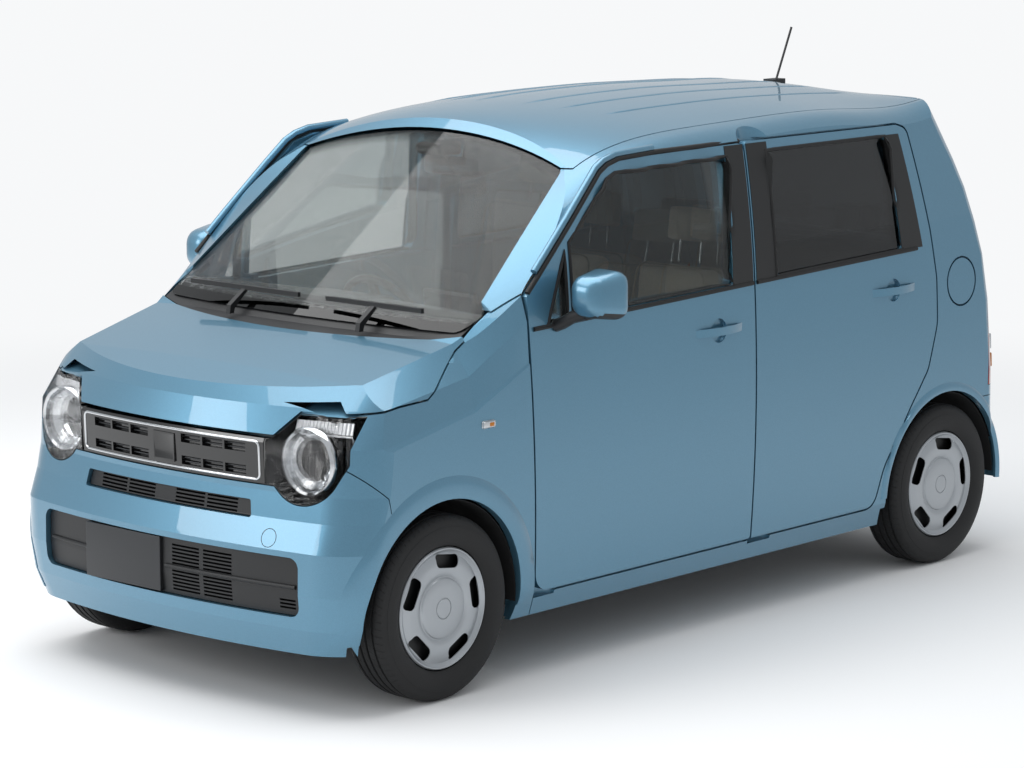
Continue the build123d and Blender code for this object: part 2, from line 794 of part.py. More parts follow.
BONNET_CUT = bonnet_block(LID_GAP)
INSIDE_NOSE = plan_block(WING_WALL, LAMP_BACK, 150, -1)

with BuildPart() as bonnet:
    add(bonnet_block(0))
    for form in (HOOD, NOSE, SKIN):
        add(form, mode=Mode.INTERSECT, clean=False)
    add(common(hood_form(BONNET_WALL), INSIDE_NOSE), mode=Mode.SUBTRACT, clean=False)

SEAM_PRISM = side_prism(outline(SEAM), -HALF - 30, HALF + 30)

with BuildPart() as wing_left:
    add(slab(560, HALF + 10, FRONT_END, A_POST + 60, SILL_FOOT, 1300))
    for form in (SKIN, HOOD, NOSE, ahead_of_doors(SHUT_GAP / 2)):
        add(form, mode=Mode.INTERSECT, clean=False)
    add(common(hood_form(WING_WALL), wall_form(WING_WALL), INSIDE_NOSE), mode=Mode.SUBTRACT, clean=False)
    seam = side_prism(outline(SEAM, grow=TRIM_GAP))
    cowl_room = slab(400, COWL_X + 12, BONNET_REAR_CENTRE - 20, A_POST + 80, 900, HEIGHT)
    for cut in (BONNET_CUT, seam, lamp_prism(TRIM_GAP), cowl_room, axle_drum(FRONT_AXLE, ARCH_RADIUS, 400, HALF + 20)):
        add(cut, mode=Mode.SUBTRACT, clean=False)
    add(SCREEN, mode=Mode.SUBTRACT, clean=False)

with BuildPart() as front_wings:
    add(both(wing_left.part))

with BuildPart() as lamp_left:
    add(lamp_prism())
    for form in (NOSE, HOOD, SKIN):
        add(form, mode=Mode.INTERSECT, clean=False)
    add(plan_block(70, LAMP_BACK, 110, -1), mode=Mode.SUBTRACT, clean=False)
    add(BONNET_CUT, mode=Mode.SUBTRACT, clean=False)

with BuildPart() as headlamps:
    add(both(lamp_left.part))


# Front bumper with its two openings, grille and lower grilles
SLOT_X = (352, 362)
SLOT_Z = (568, 620)
MOUTH_X = 552.0
MOUTH_Z = (298, 473)
BAR_DEPTH = 18.0
PLATE = (330, 165, -151, 386)


def slot_outline(grow=0.0):
    points = [(-SLOT_X[1], SLOT_Z[0]), (SLOT_X[1], SLOT_Z[0]), (SLOT_X[0], SLOT_Z[1]), (-SLOT_X[0], SLOT_Z[1])]
    return outline(points, [(0, 8), (1, 8), (2, 8), (3, 8)], grow)


def mouth_outline(grow=0.0):
    low, high = MOUTH_Z
    points = [(-MOUTH_X, low), (MOUTH_X, low), (MOUTH_X, high), (-MOUTH_X, high)]
    return outline(points, [(0, 32), (1, 32), (2, 32), (3, 32)], grow)


def opening(shape):
    return front_prism(shape, FRONT_END - 50, FRONT_AXLE - 200)


def front_layer(block, depth, thick):
    """Sheet behind the front face between two depths"""
    return less(common(block, face_form(NOSE_ROWS, -1, depth)), face_form(NOSE_ROWS, -1, depth + thick))


def grille_block(grow):
    half = GRILLE_X + grow
    return slab(-half, half, FRONT_END - 50, FRONT_END + 200, GRILLE_FOOT - grow, GRILLE_TOP + grow)


with BuildPart() as front_bumper:
    add(slab(-HALF, HALF, FRONT_END - 40, FRONT_AXLE - 180, CHIN_Z, 760))
    for form in (SEAM_PRISM, SKIN, NOSE):
        add(form, mode=Mode.INTERSECT, clean=False)
    add(plan_block(BUMPER_WALL, 78, 130, -1), mode=Mode.SUBTRACT, clean=False)
    cuts = [lamp_prism(TRIM_GAP), mirror(lamp_prism(TRIM_GAP), about=Plane.YZ), grille_block(TRIM_GAP)]
    cuts += [opening(slot_outline()), opening(mouth_outline()), BONNET_CUT]
    for start in (-HALF - 20, 380):
        cuts.append(axle_drum(FRONT_AXLE, ARCH_RADIUS, start, start + HALF - 360))
    house = axle_drum(FRONT_AXLE, WHEEL_HOUSE + TRIM_GAP, -HALF + WING_WALL, HALF - WING_WALL)
    cuts.append(common(house, slab(-HALF, HALF, FRONT_END, FRONT_AXLE, 390, 760)))
    cuts.append(axle_drum(FRONT_AXLE, WHEEL_HOUSE + TRIM_GAP, -HALF + 62, HALF - 62))
    for cut in cuts:
        add(cut, mode=Mode.SUBTRACT, clean=False)

CELL_ROWS = (702, 768)
CELL_COLUMNS = (112, 200, 288)
GRILLE_WALL = 50.0
with BuildPart() as grille:
    add(front_layer(grille_block(0), 6, GRILLE_WALL))
    with BuildPart() as cells:
        with BuildSketch(Plane.XZ.offset(-FRONT_END + 50)):
            places = [(way * x, z) for x in CELL_COLUMNS for z in CELL_ROWS for way in (-1, 1)]
            with Locations(*places):
                Rectangle(80, 26)
        extrude(amount=-200)
    add(less(cells.part, face_form(NOSE_ROWS, -1, 6 + BAR_DEPTH)), mode=Mode.SUBTRACT, clean=False)

# Fin slots: centre x, centre height, width, number
FIN_PITCH = 11.0
FIN_SLOT = 6.0
FIN_GROUPS = [
    (-235, 594, 120, 4),
    (-105, 594, 120, 4),
    (105, 594, 120, 4),
    (235, 594, 120, 4),
    (112, 422, 112, 6),
    (240, 422, 112, 6),
    (112, 344, 112, 6),
    (240, 344, 112, 6),
    (500, 332, 56, 3),
]
INSERT_DEPTH = 14.0
INSERT_WALL = 22.0
with BuildPart() as fin_slots:
    for x, z, width, count in FIN_GROUPS:
        with BuildSketch(Plane.XZ.offset(-FRONT_END + 50)):
            with Locations((x, z)):
                with GridLocations(1, FIN_PITCH, 1, count):
                    Rectangle(width, FIN_SLOT)
        extrude(amount=-200)

with BuildPart() as lower_grilles:
    for shape in (slot_outline(-TRIM_GAP), mouth_outline(-TRIM_GAP)):
        add(front_layer(opening(shape), INSERT_DEPTH, INSERT_WALL))
    add(fin_slots.part, mode=Mode.SUBTRACT, clean=False)
    width, height, x, z = PLATE
    add(slab(x - width / 2, x + width / 2, FRONT_END + 6, FRONT_END + 30, z - height / 2, z + height / 2))


# Tail: bumper, lamps, tailgate and its glass
TAIL_GLASS = [(-540, BELT + 10), (540, BELT + 10), (508, HEIGHT - 150), (-508, HEIGHT - 150)]
TAIL_GLASS_ROUNDS = [(0, 40), (1, 40), (2, 40), (3, 40)]

with BuildPart() as rear_bumper:
    add(slab(-HALF - 20, HALF + 20, REAR_AXLE + 200, REAR_END + 20, CHIN_Z + 14, BUMPER_TOP))
    for form in (SKIN, TAIL):
        add(form, mode=Mode.INTERSECT, clean=False)
    add(plan_block(BUMPER_WALL, FRAME_WALL, 66, 1), mode=Mode.SUBTRACT, clean=False)
    for start in (-HALF - 20, 400):
        add(axle_drum(REAR_AXLE, ARCH_RADIUS, start, start + HALF - 380), mode=Mode.SUBTRACT, clean=False)
    around = axle_drum(REAR_AXLE, WHEEL_HOUSE + TRIM_GAP, -HALF + WING_WALL, HALF - WING_WALL)
    add(around, mode=Mode.SUBTRACT, clean=False)

with BuildPart() as tail_lamp:
    low, high = TAIL_LAMP_Z
    add(slab(TAIL_LAMP_X, HALF + 20, REAR_END - TAIL_LAMP_LENGTH, REAR_END + 20, low, high))
    for form in (SKIN, TAIL):
        add(form, mode=Mode.INTERSECT, clean=False)
    add(plan_block(60, 130, 60, 1), mode=Mode.SUBTRACT, clean=False)

with BuildPart() as tail_lamps:
    add(both(tail_lamp.part))

with BuildPart() as tailgate_glass:
    pane_block = front_prism(outline(TAIL_GLASS, TAIL_GLASS_ROUNDS, GLASS_BITE), REAR_AXLE, REAR_END + 50)
    add(common(pane_block, face_form(TAIL_ROWS, 1, GLASS_SET_IN)))
    add(face_form(TAIL_ROWS, 1, GLASS_SET_IN + GLASS), mode=Mode.SUBTRACT, clean=False)

with BuildPart() as tailgate:
    add(front_prism(tailgate_outline(), TAIL_SPLIT + LID_GAP, REAR_END + 50))
    for form in (TAIL, ROOF_BAR):
        add(form, mode=Mode.INTERSECT, clean=False)
    add(common(TAIL_INSIDE, CEILING), mode=Mode.SUBTRACT, clean=False)
    pane_hole = front_prism(outline(TAIL_GLASS, TAIL_GLASS_ROUNDS), REAR_AXLE, REAR_END + 50)
    for cut in (pane_hole, tailgate_glass.part):
        add(cut, mode=Mode.SUBTRACT, clean=False)


# Floor, front frame and wheel houses
FLOOR_HALF = 606.0
HEEL = (REAR_AXLE - 420, 400)
BULKHEAD = (A_POST - 4, A_POST + 16)
BULKHEAD_X = 612.0
with BuildPart() as floor_pan:
    with BuildSketch(Plane.YZ.offset(-FLOOR_HALF)):
        with BuildLine():
            heel_y, heel_z = HEEL
            tail_y = REAR_END - 122
            Polyline(
                (BULKHEAD[1], FLOOR - FLOOR_WALL),
                (heel_y, FLOOR - FLOOR_WALL),
                (heel_y + 80, heel_z - FLOOR_WALL),
                (tail_y, heel_z - FLOOR_WALL),
                (tail_y, heel_z),
                (heel_y + 60, heel_z),
                (heel_y - 20, FLOOR),
                (BULKHEAD[1], FLOOR),
                close=True,
            )
        make_face()
    extrude(amount=2 * FLOOR_HALF)
    for way in (-1, 1):
        x0, x1 = sorted((way * (REAR_HOUSE_X - TRIM_GAP), way * HALF))
        add(axle_drum(REAR_AXLE, WHEEL_HOUSE + TRIM_GAP, x0, x1), mode=Mode.SUBTRACT, clean=False)

KINGPIN_X = 545.0
STRUT_RADIUS = 22.0
TOWER_HOLE = 30.0
AXLE_SLOT_TOP = 400.0
HOUSE_OUT_X = HALF - WING_WALL - 12
with BuildPart() as arch_liners:
    for way in (-1, 1):
        for axle, start in ((FRONT_AXLE, HOUSE_X), (REAR_AXLE, REAR_HOUSE_X)):
            x0, x1 = sorted((way * start, way * HOUSE_OUT_X))
            c0, c1 = sorted((way * (start + HOUSE_WALL), way * HALF))
            with BuildPart() as house:
                add(axle_drum(axle, WHEEL_HOUSE - 1, x0, x1))
                add(axle_drum(axle, WHEEL_HOUSE - HOUSE_WALL, c0, c1), mode=Mode.SUBTRACT, clean=False)
                add(slab(-HALF, HALF, axle - 400, axle + 400, AXLE_SLOT_TOP, 700), mode=Mode.INTERSECT, clean=False)
                if axle == FRONT_AXLE:
                    with BuildSketch(Plane.XY.offset(AXLE_SLOT_TOP)):
                        with Locations((way * KINGPIN_X, axle)):
                            Circle(TOWER_HOLE)
                    extrude(amount=300, mode=Mode.SUBTRACT)
            add(house.part, clean=False)

RAIL = (325, 385)
RAIL_Z = (410, 500)
APRON = (560, 576)
TOWER_TOP = 842.0
FRONT_PANEL = (FRONT_AXLE - 272, FRONT_AXLE - 258)
with BuildPart() as front_frame:
    add(slab(-BULKHEAD_X, BULKHEAD_X, *BULKHEAD, FLOOR - FLOOR_WALL, 985))
    for way in (-1, 1):
        x0, x1 = sorted((way * RAIL[0], way * RAIL[1]))
        add(slab(x0, x1, FRONT_END + 112, BULKHEAD[0], *RAIL_Z))
        x0, x1 = sorted((way * APRON[0], way * APRON[1]))
        add(slab(x0, x1, FRONT_PANEL[0], BULKHEAD[0], 660, 790))
        x0, x1 = sorted((way * (KINGPIN_X - 62), way * APRON[0]))
        add(slab(x0, x1, FRONT_AXLE - 62, FRONT_AXLE + 62, 660, TOWER_TOP))
    add(slab(-RAIL[1], RAIL[1], *FRONT_PANEL, RAIL_Z[0], 790))
    add(slab(-APRON[1], APRON[1], *FRONT_PANEL, 660, 790))
    for way in (-1, 1):
        with Locations((way * KINGPIN_X, FRONT_AXLE, 640)):
            Cylinder(TOWER_HOLE, 800, mode=Mode.SUBTRACT)

# Cowl panel at the foot of the windscreen, with the glass seat
COWL_WALL = 18.0
with BuildPart() as cowl:
    add(slab(-COWL_X, COWL_X, BONNET_REAR_CENTRE - 10, A_POST - 100, 960, 1140))
    add(hood_form(4), mode=Mode.INTERSECT, clean=False)
    add(hood_form(4 + COWL_WALL), mode=Mode.SUBTRACT, clean=False)
    seat_block = slab(-COWL_X, COWL_X, FRONT_AXLE, A_POST - 60, 1030, BELT + 36)
    add(less(common(seat_block, screen_space(34)), screen_space(GLASS_SET_IN + GLASS)), clean=False)
    for cut in (less(seat_block, screen_space(34)), windscreen.part, BONNET_CUT):
        add(cut, mode=Mode.SUBTRACT, clean=False)


# Running gear
STUB_RADIUS = 25.0
STUB_X = 640.0
HUB_RADIUS = 62.0
HUB_FACE_X = 598.0
KNUCKLE_FOOT = TYRE_RADIUS - 70
with BuildPart() as knuckle_left:
    with BuildSketch(Plane.YZ.offset(KINGPIN_X)):
        with Locations((FRONT_AXLE, TYRE_RADIUS)):
            Circle(HUB_RADIUS)
    extrude(amount=HUB_FACE_X - KINGPIN_X)
    with BuildSketch(Plane.YZ.offset(HUB_FACE_X)):
        with Locations((FRONT_AXLE, TYRE_RADIUS)):
            Circle(STUB_RADIUS)
    extrude(amount=STUB_X - HUB_FACE_X)
    with Locations((KINGPIN_X, FRONT_AXLE, (KNUCKLE_FOOT + TOWER_TOP - 60) / 2)):
        Cylinder(STRUT_RADIUS, TOWER_TOP - 60 - KNUCKLE_FOOT)

# Front subframe with the lower arms, up to the joint under each knuckle
SUBFRAME_Z = (165, 198)
ARM_GAP = 6.0
with BuildPart() as subframe:
    low, high = SUBFRAME_Z
    add(slab(-300, 300, FRONT_AXLE - 40, A_POST - 30, low, high))
    for way in (-1, 1):
        with BuildSketch(Plane.XY.offset(low)):
            with BuildLine():
                Polyline(
                    (way * 300, FRONT_AXLE - 40),
                    (way * (KINGPIN_X + 22), FRONT_AXLE - 22),
                    (way * (KINGPIN_X + 22), FRONT_AXLE + 22),
                    (way * 300, FRONT_AXLE + 190),
                    close=True,
                )
            make_face()
        extrude(amount=KNUCKLE_FOOT - ARM_GAP - low)
        x0, x1 = sorted((way * RAIL[0], way * (RAIL[0] - 50)))
        add(slab(x0, x1, A_POST - 70, A_POST - 30, low, RAIL_Z[1]))

# Rear axle: a cross beam with two trailing arms and a stub each side
ARM_X = 440.0
ARM_FRONT = REAR_AXLE - 334
with BuildPart() as rear_axle:
    with Locations((0, REAR_AXLE - 190, TYRE_RADIUS - 20)):
        Box(2 * ARM_X, 80, 70)
    for way in (-1, 1):
        x0, x1 = sorted((way * (ARM_X - 28), way * (ARM_X + 28)))
        add(slab(x0, x1, ARM_FRONT, REAR_AXLE + 40, TYRE_RADIUS - 40, TYRE_RADIUS + 20))
        add(slab(x0, x1, ARM_FRONT, ARM_FRONT + 60, TYRE_RADIUS, HEEL[1] - FLOOR_WALL))
        x0, x1 = sorted((way * ARM_X, way * HUB_FACE_X))
        with BuildSketch(Plane.YZ.offset(x0)):
            with Locations((REAR_AXLE, TYRE_RADIUS)):
                Circle(36)
        extrude(amount=x1 - x0)
        x0, x1 = sorted((way * HUB_FACE_X, way * STUB_X))
        with BuildSketch(Plane.YZ.offset(x0)):
            with Locations((REAR_AXLE, TYRE_RADIUS)):
                Circle(STUB_RADIUS)
        extrude(amount=x1 - x0)

# Wheel: rim and full cover turned about the axle, with five vents
COVER_OUT = 69.0
VENT_COUNT = 5
VENT_CIRCLE = 138.0
BORE_GAP = 2.0


def wheel(x, y, turn):
    """Rim with its cover; turn is -1 for a wheel on the right"""
    bore, half = STUB_RADIUS + BORE_GAP, RIM_WIDTH / 2
    with BuildPart() as rim:
        with BuildSketch(Plane.XZ):
            with BuildLine():
                Polyline(
                    (RIM_RADIUS, -half),
                    (RIM_RADIUS, half),
                    (RIM_RADIUS - 6, COVER_OUT - 4),
                    (RIM_RADIUS - 26, COVER_OUT),
                    (92, COVER_OUT - 8),
                    (84, COVER_OUT - 2),
                    (34, COVER_OUT - 2),
                    (30, COVER_OUT),
                    (0, COVER_OUT),
                    (0, COVER_OUT - 20),
                    (bore, COVER_OUT - 20),
                    (bore, -50 + half),
                    (HUB_RADIUS + 8, -50 + half),
                    (HUB_RADIUS + 8, COVER_OUT - 26),
                    (RIM_RADIUS - 24, COVER_OUT - 20),
                    (RIM_RADIUS - 10, 20),
                    (RIM_RADIUS - 10, -half),
                    close=True,
                )
            make_face()
        revolve(axis=Axis.Z)
        with BuildSketch(Plane.XY):
            with PolarLocations(VENT_CIRCLE, VENT_COUNT, start_angle=64):
                RectangleRounded(34, 92, 16)
        extrude(amount=COVER_OUT + 20, mode=Mode.SUBTRACT)
    return Plane(origin=(x, y, TYRE_RADIUS), x_dir=(0, 1, 0), z_dir=(turn, 0, 0)) * rim.part


def tyre(x, y):
    """Tyre carcass with chamfered shoulders, plain tread"""
    half = TYRE_WIDTH / 2
    side = [
        (RIM_RADIUS, half - 16),
        (RIM_RADIUS + 18, half - 3),
        (RIM_RADIUS + 42, half),
        (TYRE_RADIUS - 24, half - 7),
        (TYRE_RADIUS - 9, half - 14),
        (TYRE_RADIUS, half - 30),
    ]
    with BuildPart() as ring:
        with BuildSketch(Plane.XZ):
            with BuildLine():
                Polyline(*side, *[(radius, -width) for radius, width in reversed(side)], close=True)
            make_face()
        revolve(axis=Axis.Z)
    return Plane(origin=(x, y, TYRE_RADIUS), x_dir=(0, 1, 0), z_dir=(1, 0, 0)) * ring.part


# Cabin furniture
COLUMN_FOOT = (-340, -610, 800)
COLUMN_HEAD = (-340, -345, 925)
WHEEL_RING = 176.0
WHEEL_TUBE = 14.0
DASH_REAR = A_POST + 410
DASH_X = 608.0
DASH_TOP = 985.0
DASH_FRONT = BULKHEAD[1] + 4

with BuildPart() as dashboard:
    with BuildSketch(Plane.YZ.offset(-DASH_X)):
        with BuildLine():
            Polyline((DASH_REAR - 190, 640), (DASH_FRONT, 640), (DASH_FRONT, DASH_TOP), (DASH_REAR - 80, DASH_TOP + 10))
            ThreePointArc((DASH_REAR - 80, DASH_TOP + 10), (DASH_REAR - 12, DASH_TOP - 30), (DASH_REAR, DASH_TOP - 90))
            Polyline((DASH_REAR, DASH_TOP - 90), (DASH_REAR - 60, 690), (DASH_REAR - 190, 640))
        make_face()
    extrude(amount=2 * DASH_X)
    with Locations((COLUMN_FOOT[0], DASH_REAR - 110, DASH_TOP + 20)):
        Box(330, 130, 70)
    column = Vector(*COLUMN_HEAD) - Vector(*COLUMN_FOOT)
    with BuildSketch(Plane(origin=COLUMN_FOOT, z_dir=column)):
        Circle(38)
    extrude(amount=column.length - 46)

HUB_THICK = 36.0
with BuildPart() as steering_wheel:
    face = Plane(origin=COLUMN_HEAD, x_dir=(1, 0, 0), z_dir=column)
    with BuildSketch(face):
        Circle(62)
    extrude(amount=-HUB_THICK)
    with BuildSketch(face.offset(-24)):
        Rectangle(2 * WHEEL_RING, 34)
        with Locations((0, -WHEEL_RING / 2)):
            Rectangle(36, WHEEL_RING)
    extrude(amount=12)
    with BuildPart(mode=Mode.PRIVATE) as ring:
        with BuildSketch(Plane.XZ):
            with Locations((WHEEL_RING, 0)):
                RegularPolygon(WHEEL_TUBE, 8, rotation=22.5)
        revolve(axis=Axis.Z)
    add(face.offset(-18) * ring.part)

SEAT_X = 290.0
SEAT_WIDTH = 500.0


def seat(x, width, front, base, cushion_top, back_top):
    """Cushion and back in side view"""
    with BuildPart() as one:
        with BuildSketch(Plane.YZ.offset(x - width / 2)):
            with BuildLine():
                Polyline(
                    (front, base + 60),
                    (front + 20, cushion_top),
                    (front + 430, cushion_top - 30),
                    (front + 560, back_top),
                    (front + 650, back_top - 20),
                    (front + 570, base),
                    (front + 60, base),
                    close=True,
                )
            make_face()
        extrude(amount=width)
    return one.part


with BuildPart() as front_seats:
    for way in (-1, 1):
        add(seat(way * SEAT_X, SEAT_WIDTH, -150, FLOOR + 40, 590, 1150))
        with Locations((way * SEAT_X, 455, 1230)):
            Box(250, 90, 170)
        with Locations((way * SEAT_X, 110, FLOOR + 20)):
            Box(360, 360, 40)

with BuildPart() as rear_seat:
    add(seat(0, 960, HEEL[0] - 40, HEEL[1] + 20, 640, 1110))
    with Locations((0, HEEL[0] + 250, HEEL[1] + 10)):
        Box(900, 300, 20)
    for x in (-240, 240):
        with Locations((x, HEEL[0] + 560, 1160)):
            Box(240, 90, 150)

with BuildPart() as engine_block:
    add(slab(-230, 250, FRONT_AXLE - 180, FRONT_AXLE + 190, 240, 760))
    mount_z = (RAIL_Z[0] + RAIL_Z[1]) / 2
    add(slab(-RAIL[0], RAIL[0], FRONT_AXLE - 40, FRONT_AXLE + 40, mount_z - 30, mount_z + 30))

PIPE_Z = 180.0
with BuildPart() as exhaust:
    start = (150, A_POST + 60, PIPE_Z)
    with BuildLine():
        FilletPolyline(
            start,
            (150, REAR_AXLE - 760, PIPE_Z),
            (330, REAR_AXLE - 520, PIPE_Z),
            (330, REAR_AXLE - 330, PIPE_Z),
            (330, REAR_AXLE - 250, 322),
            (330, REAR_AXLE - 20, 322),
            radius=50,
        )
    with BuildSketch(Plane(origin=start, z_dir=(0, 1, 0))):
        Circle(18)
    sweep()
    with Locations((300, REAR_AXLE + 120, 300)):
        Box(200, 290, 130)

# Door mirrors, wipers and aerial
MIRROR_POINTS = [
    (775, A_POST + 90),
    (900, A_POST + 150),
    (926, A_POST + 262),
    (905, A_POST + 268),
    (790, A_POST + 190),
    (770, A_POST + 150),
]
MIRROR_ARM = [(722, 1034), (722, 1062), (770, 1108), (800, 1120), (800, 1088), (750, 1040)]
with BuildPart() as mirror_left:
    with BuildSketch(Plane.XY.offset(1082)):
        add(outline(MIRROR_POINTS, [(i, 9) for i in range(6)]))
    extrude(amount=160)
    with BuildSketch(Plane.XZ.offset(-A_POST - 110)):
        add(outline(MIRROR_ARM))
    extrude(amount=-58)
    add(common(slab(700, 760, A_POST + 50, A_POST + 300, 900, 1200), SKIN), mode=Mode.SUBTRACT, clean=False)

# Wipers: centre x and half length of each blade, then the arm in side view
WIPERS = [(-250, 240), (310, 200)]
WIPER_ARM = [
    (FRONT_AXLE + 62, BELT - 12),
    (FRONT_AXLE + 80, BELT - 12),
    (FRONT_AXLE + 84, BELT + 4),
    (FRONT_AXLE + 139, BELT + 52),
    (FRONT_AXLE + 138, BELT + 64),
    (FRONT_AXLE + 66, BELT + 14),
]
with BuildPart() as wipers:
    for x, half in WIPERS:
        with BuildSketch(Plane.YZ.offset(x - 9)):
            add(outline(WIPER_ARM))
        extrude(amount=18)
        with Locations((x, FRONT_AXLE + 136, BELT + 62)):
            Box(2 * half, 12, 14)

with BuildPart() as aerial:
    with Locations((0, REAR_AXLE - 38, HEIGHT - 42)):
        Box(44, 70, 30)
    roof_patch = slab(-60, 60, REAR_AXLE - 100, REAR_AXLE + 60, 1500, HEIGHT)
    add(common(roof_patch, ROOF_BAR), mode=Mode.SUBTRACT, clean=False)
    with BuildSketch(Plane(origin=(0, REAR_AXLE - 30, HEIGHT - 36), z_dir=(0, 89, 190))):
        Circle(4)
    extrude(amount=205)


# Pieces by name: the right side mirrors the left
LEFT = {
    "body_side": body_side_left,
    "door_front": door_front_left,
    "door_rear": door_rear_left,
    "glass_front": glass_front_left,
    "glass_rear": glass_rear_left,
    "mirror": mirror_left,
    "knuckle": knuckle_left,
}
SINGLE = {
    "roof": roof,
    "windscreen": windscreen,
    "cowl": cowl,
    "bonnet": bonnet,
    "front_wings": front_wings,
    "front_bumper": front_bumper,
    "grille": grille,
    "lower_grilles": lower_grilles,
    "headlamps": headlamps,
    "rear_bumper": rear_bumper,
    "tail_lamps": tail_lamps,
    "tailgate": tailgate,
    "tailgate_glass": tailgate_glass,
    "fuel_flap": fuel_flap,
    "floor_pan": floor_pan,
    "arch_liners": arch_liners,
    "front_frame": front_frame,
    "subframe": subframe,
    "rear_axle": rear_axle,
    "dashboard": dashboard,
    "steering_wheel": steering_wheel,
    "front_seats": front_seats,
    "rear_seat": rear_seat,
    "engine_block": engine_block,
    "exhaust": exhaust,
    "wipers": wipers,
    "aerial": aerial,
}
pieces = {name: piece.part for name, piece in SINGLE.items()}
for name, piece in LEFT.items():
    pieces[name + "_left"] = piece.part
    pieces[name + "_right"] = mirror(piece.part, about=Plane.YZ)
for end, y in (("front", FRONT_AXLE), ("rear", REAR_AXLE)):
    for side, way in (("left", 1), ("right", -1)):
        pieces[f"wheel_{end}_{side}"] = wheel(way * WHEEL_X, y, way)
        pieces[f"tyre_{end}_{side}"] = tyre(way * WHEEL_X, y)

for name, piece in pieces.items():
    piece.label = name
    export_step(piece, f"parts/{name}.step")
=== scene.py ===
from math import cos, hypot, pi, radians, sin

import bpy
from mathutils import Matrix, Vector
from mathutils.bvhtree import BVHTree


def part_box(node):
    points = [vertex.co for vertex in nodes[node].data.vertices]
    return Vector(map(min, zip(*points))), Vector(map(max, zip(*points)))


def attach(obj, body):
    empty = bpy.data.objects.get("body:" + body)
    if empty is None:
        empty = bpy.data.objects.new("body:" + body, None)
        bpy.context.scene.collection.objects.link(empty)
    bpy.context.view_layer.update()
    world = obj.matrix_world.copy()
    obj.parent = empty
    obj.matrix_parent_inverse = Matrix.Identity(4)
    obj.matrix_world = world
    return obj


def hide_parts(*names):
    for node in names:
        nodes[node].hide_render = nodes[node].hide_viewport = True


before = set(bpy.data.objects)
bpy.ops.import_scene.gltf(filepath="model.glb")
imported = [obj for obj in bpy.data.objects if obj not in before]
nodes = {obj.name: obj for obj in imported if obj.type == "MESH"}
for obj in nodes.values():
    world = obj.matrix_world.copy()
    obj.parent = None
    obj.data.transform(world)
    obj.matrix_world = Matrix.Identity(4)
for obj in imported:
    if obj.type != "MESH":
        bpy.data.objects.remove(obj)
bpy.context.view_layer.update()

# Chassis: front subframe, engine, floor and front frame
# Pressed and welded steel, dipped in satin black primer, with the engine as one plain block
# hung between the front rails.


def link(tree, source, out, target, into):
    """Joins two shader nodes, each socket by its name or number"""
    tree.links.new(source.outputs[out], target.inputs[into])


def node(tree, kind, **settings):
    """Adds a shader node; settings with a capital are sockets, the others its own properties"""
    made = tree.nodes.new(kind)
    for name, value in settings.items():
        if name[0].isupper():
            made.inputs[name.replace("_", " ")].default_value = value
        else:
            setattr(made, name, value)
    return made


def new_group(name, inputs, outputs):
    """Empty node group with its sockets: (name, kind, value) in, (name, kind) out"""
    group = bpy.data.node_groups.new(name, "ShaderNodeTree")
    for label, kind, value in inputs:
        socket = group.interface.new_socket(label, in_out="INPUT", socket_type="NodeSocket" + kind)
        socket.default_value = value
    for label, kind in outputs:
        group.interface.new_socket(label, in_out="OUTPUT", socket_type="NodeSocket" + kind)
    return group, group.nodes.new("NodeGroupInput"), group.nodes.new("NodeGroupOutput")


# Fine grain of a moulded, cast or painted surface: cloudy colour, uneven gloss and a small bump
grain, given, put = new_group(
    "surface_grain",
    [("Colour", "Color", (1, 1, 1, 1)), ("Mottle", "Float", 0.1), ("Gloss", "Float", 0.5),
     ("Gloss Spread", "Float", 0.1), ("Scale", "Float", 300.0), ("Depth", "Float", 0.0002)],
    [("Colour", "Color"), ("Roughness", "Float"), ("Normal", "Vector")],
)
place = node(grain, "ShaderNodeTexCoord")
cloud = node(grain, "ShaderNodeTexNoise", Scale=7.0, Detail=4.0, Roughness=0.6)
pore = node(grain, "ShaderNodeTexNoise", Detail=2.0, Roughness=0.55)
shade = node(grain, "ShaderNodeMapRange", From_Min=0.3, From_Max=0.7)
dark = node(grain, "ShaderNodeMath", operation="SUBTRACT")
dark.inputs[0].default_value = 1.0
tint = node(grain, "ShaderNodeMix", data_type="RGBA", blend_type="MULTIPLY")
tint.inputs["Factor"].default_value = 1.0
dull = node(grain, "ShaderNodeMath", operation="MULTIPLY_ADD")
bump = node(grain, "ShaderNodeBump", Strength=1.0)
for source in (cloud, pore):
    link(grain, place, "Object", source, "Vector")
link(grain, given, "Scale", pore, "Scale")
link(grain, cloud, "Fac", shade, "Value")
link(grain, given, "Mottle", dark, 1)
link(grain, dark, 0, shade, "To Min")
shade.inputs["To Max"].default_value = 1.0
link(grain, given, "Colour", tint, "A")
link(grain, shade, "Result", tint, "B")
link(grain, tint, "Result", put, "Colour")
link(grain, cloud, "Fac", dull, 0)
link(grain, given, "Gloss Spread", dull, 1)
link(grain, given, "Gloss", dull, 2)
link(grain, dull, 0, put, "Roughness")
link(grain, pore, "Fac", bump, "Height")
link(grain, given, "Depth", bump, "Distance")
link(grain, bump, "Normal", put, "Normal")


def colour(red, green, blue):
    """Colour from the 0 to 255 values that a paint chart gives, as the shader's light values"""
    parts = [c / 255 / 12.92 if c <= 10 else ((c / 255 + 0.055) / 1.055) ** 2.4 for c in (red, green, blue)]
    return (*parts, 1.0)


def new_material(name, **sockets):
    """Material, its node tree and its shader, with the shader's constants given by socket name"""
    made = bpy.data.materials.new(name)
    made.use_nodes = True
    shader = made.node_tree.nodes["Principled BSDF"]
    for label, value in sockets.items():
        shader.inputs[label.replace("_", " ")].default_value = value
    return made, made.node_tree, shader


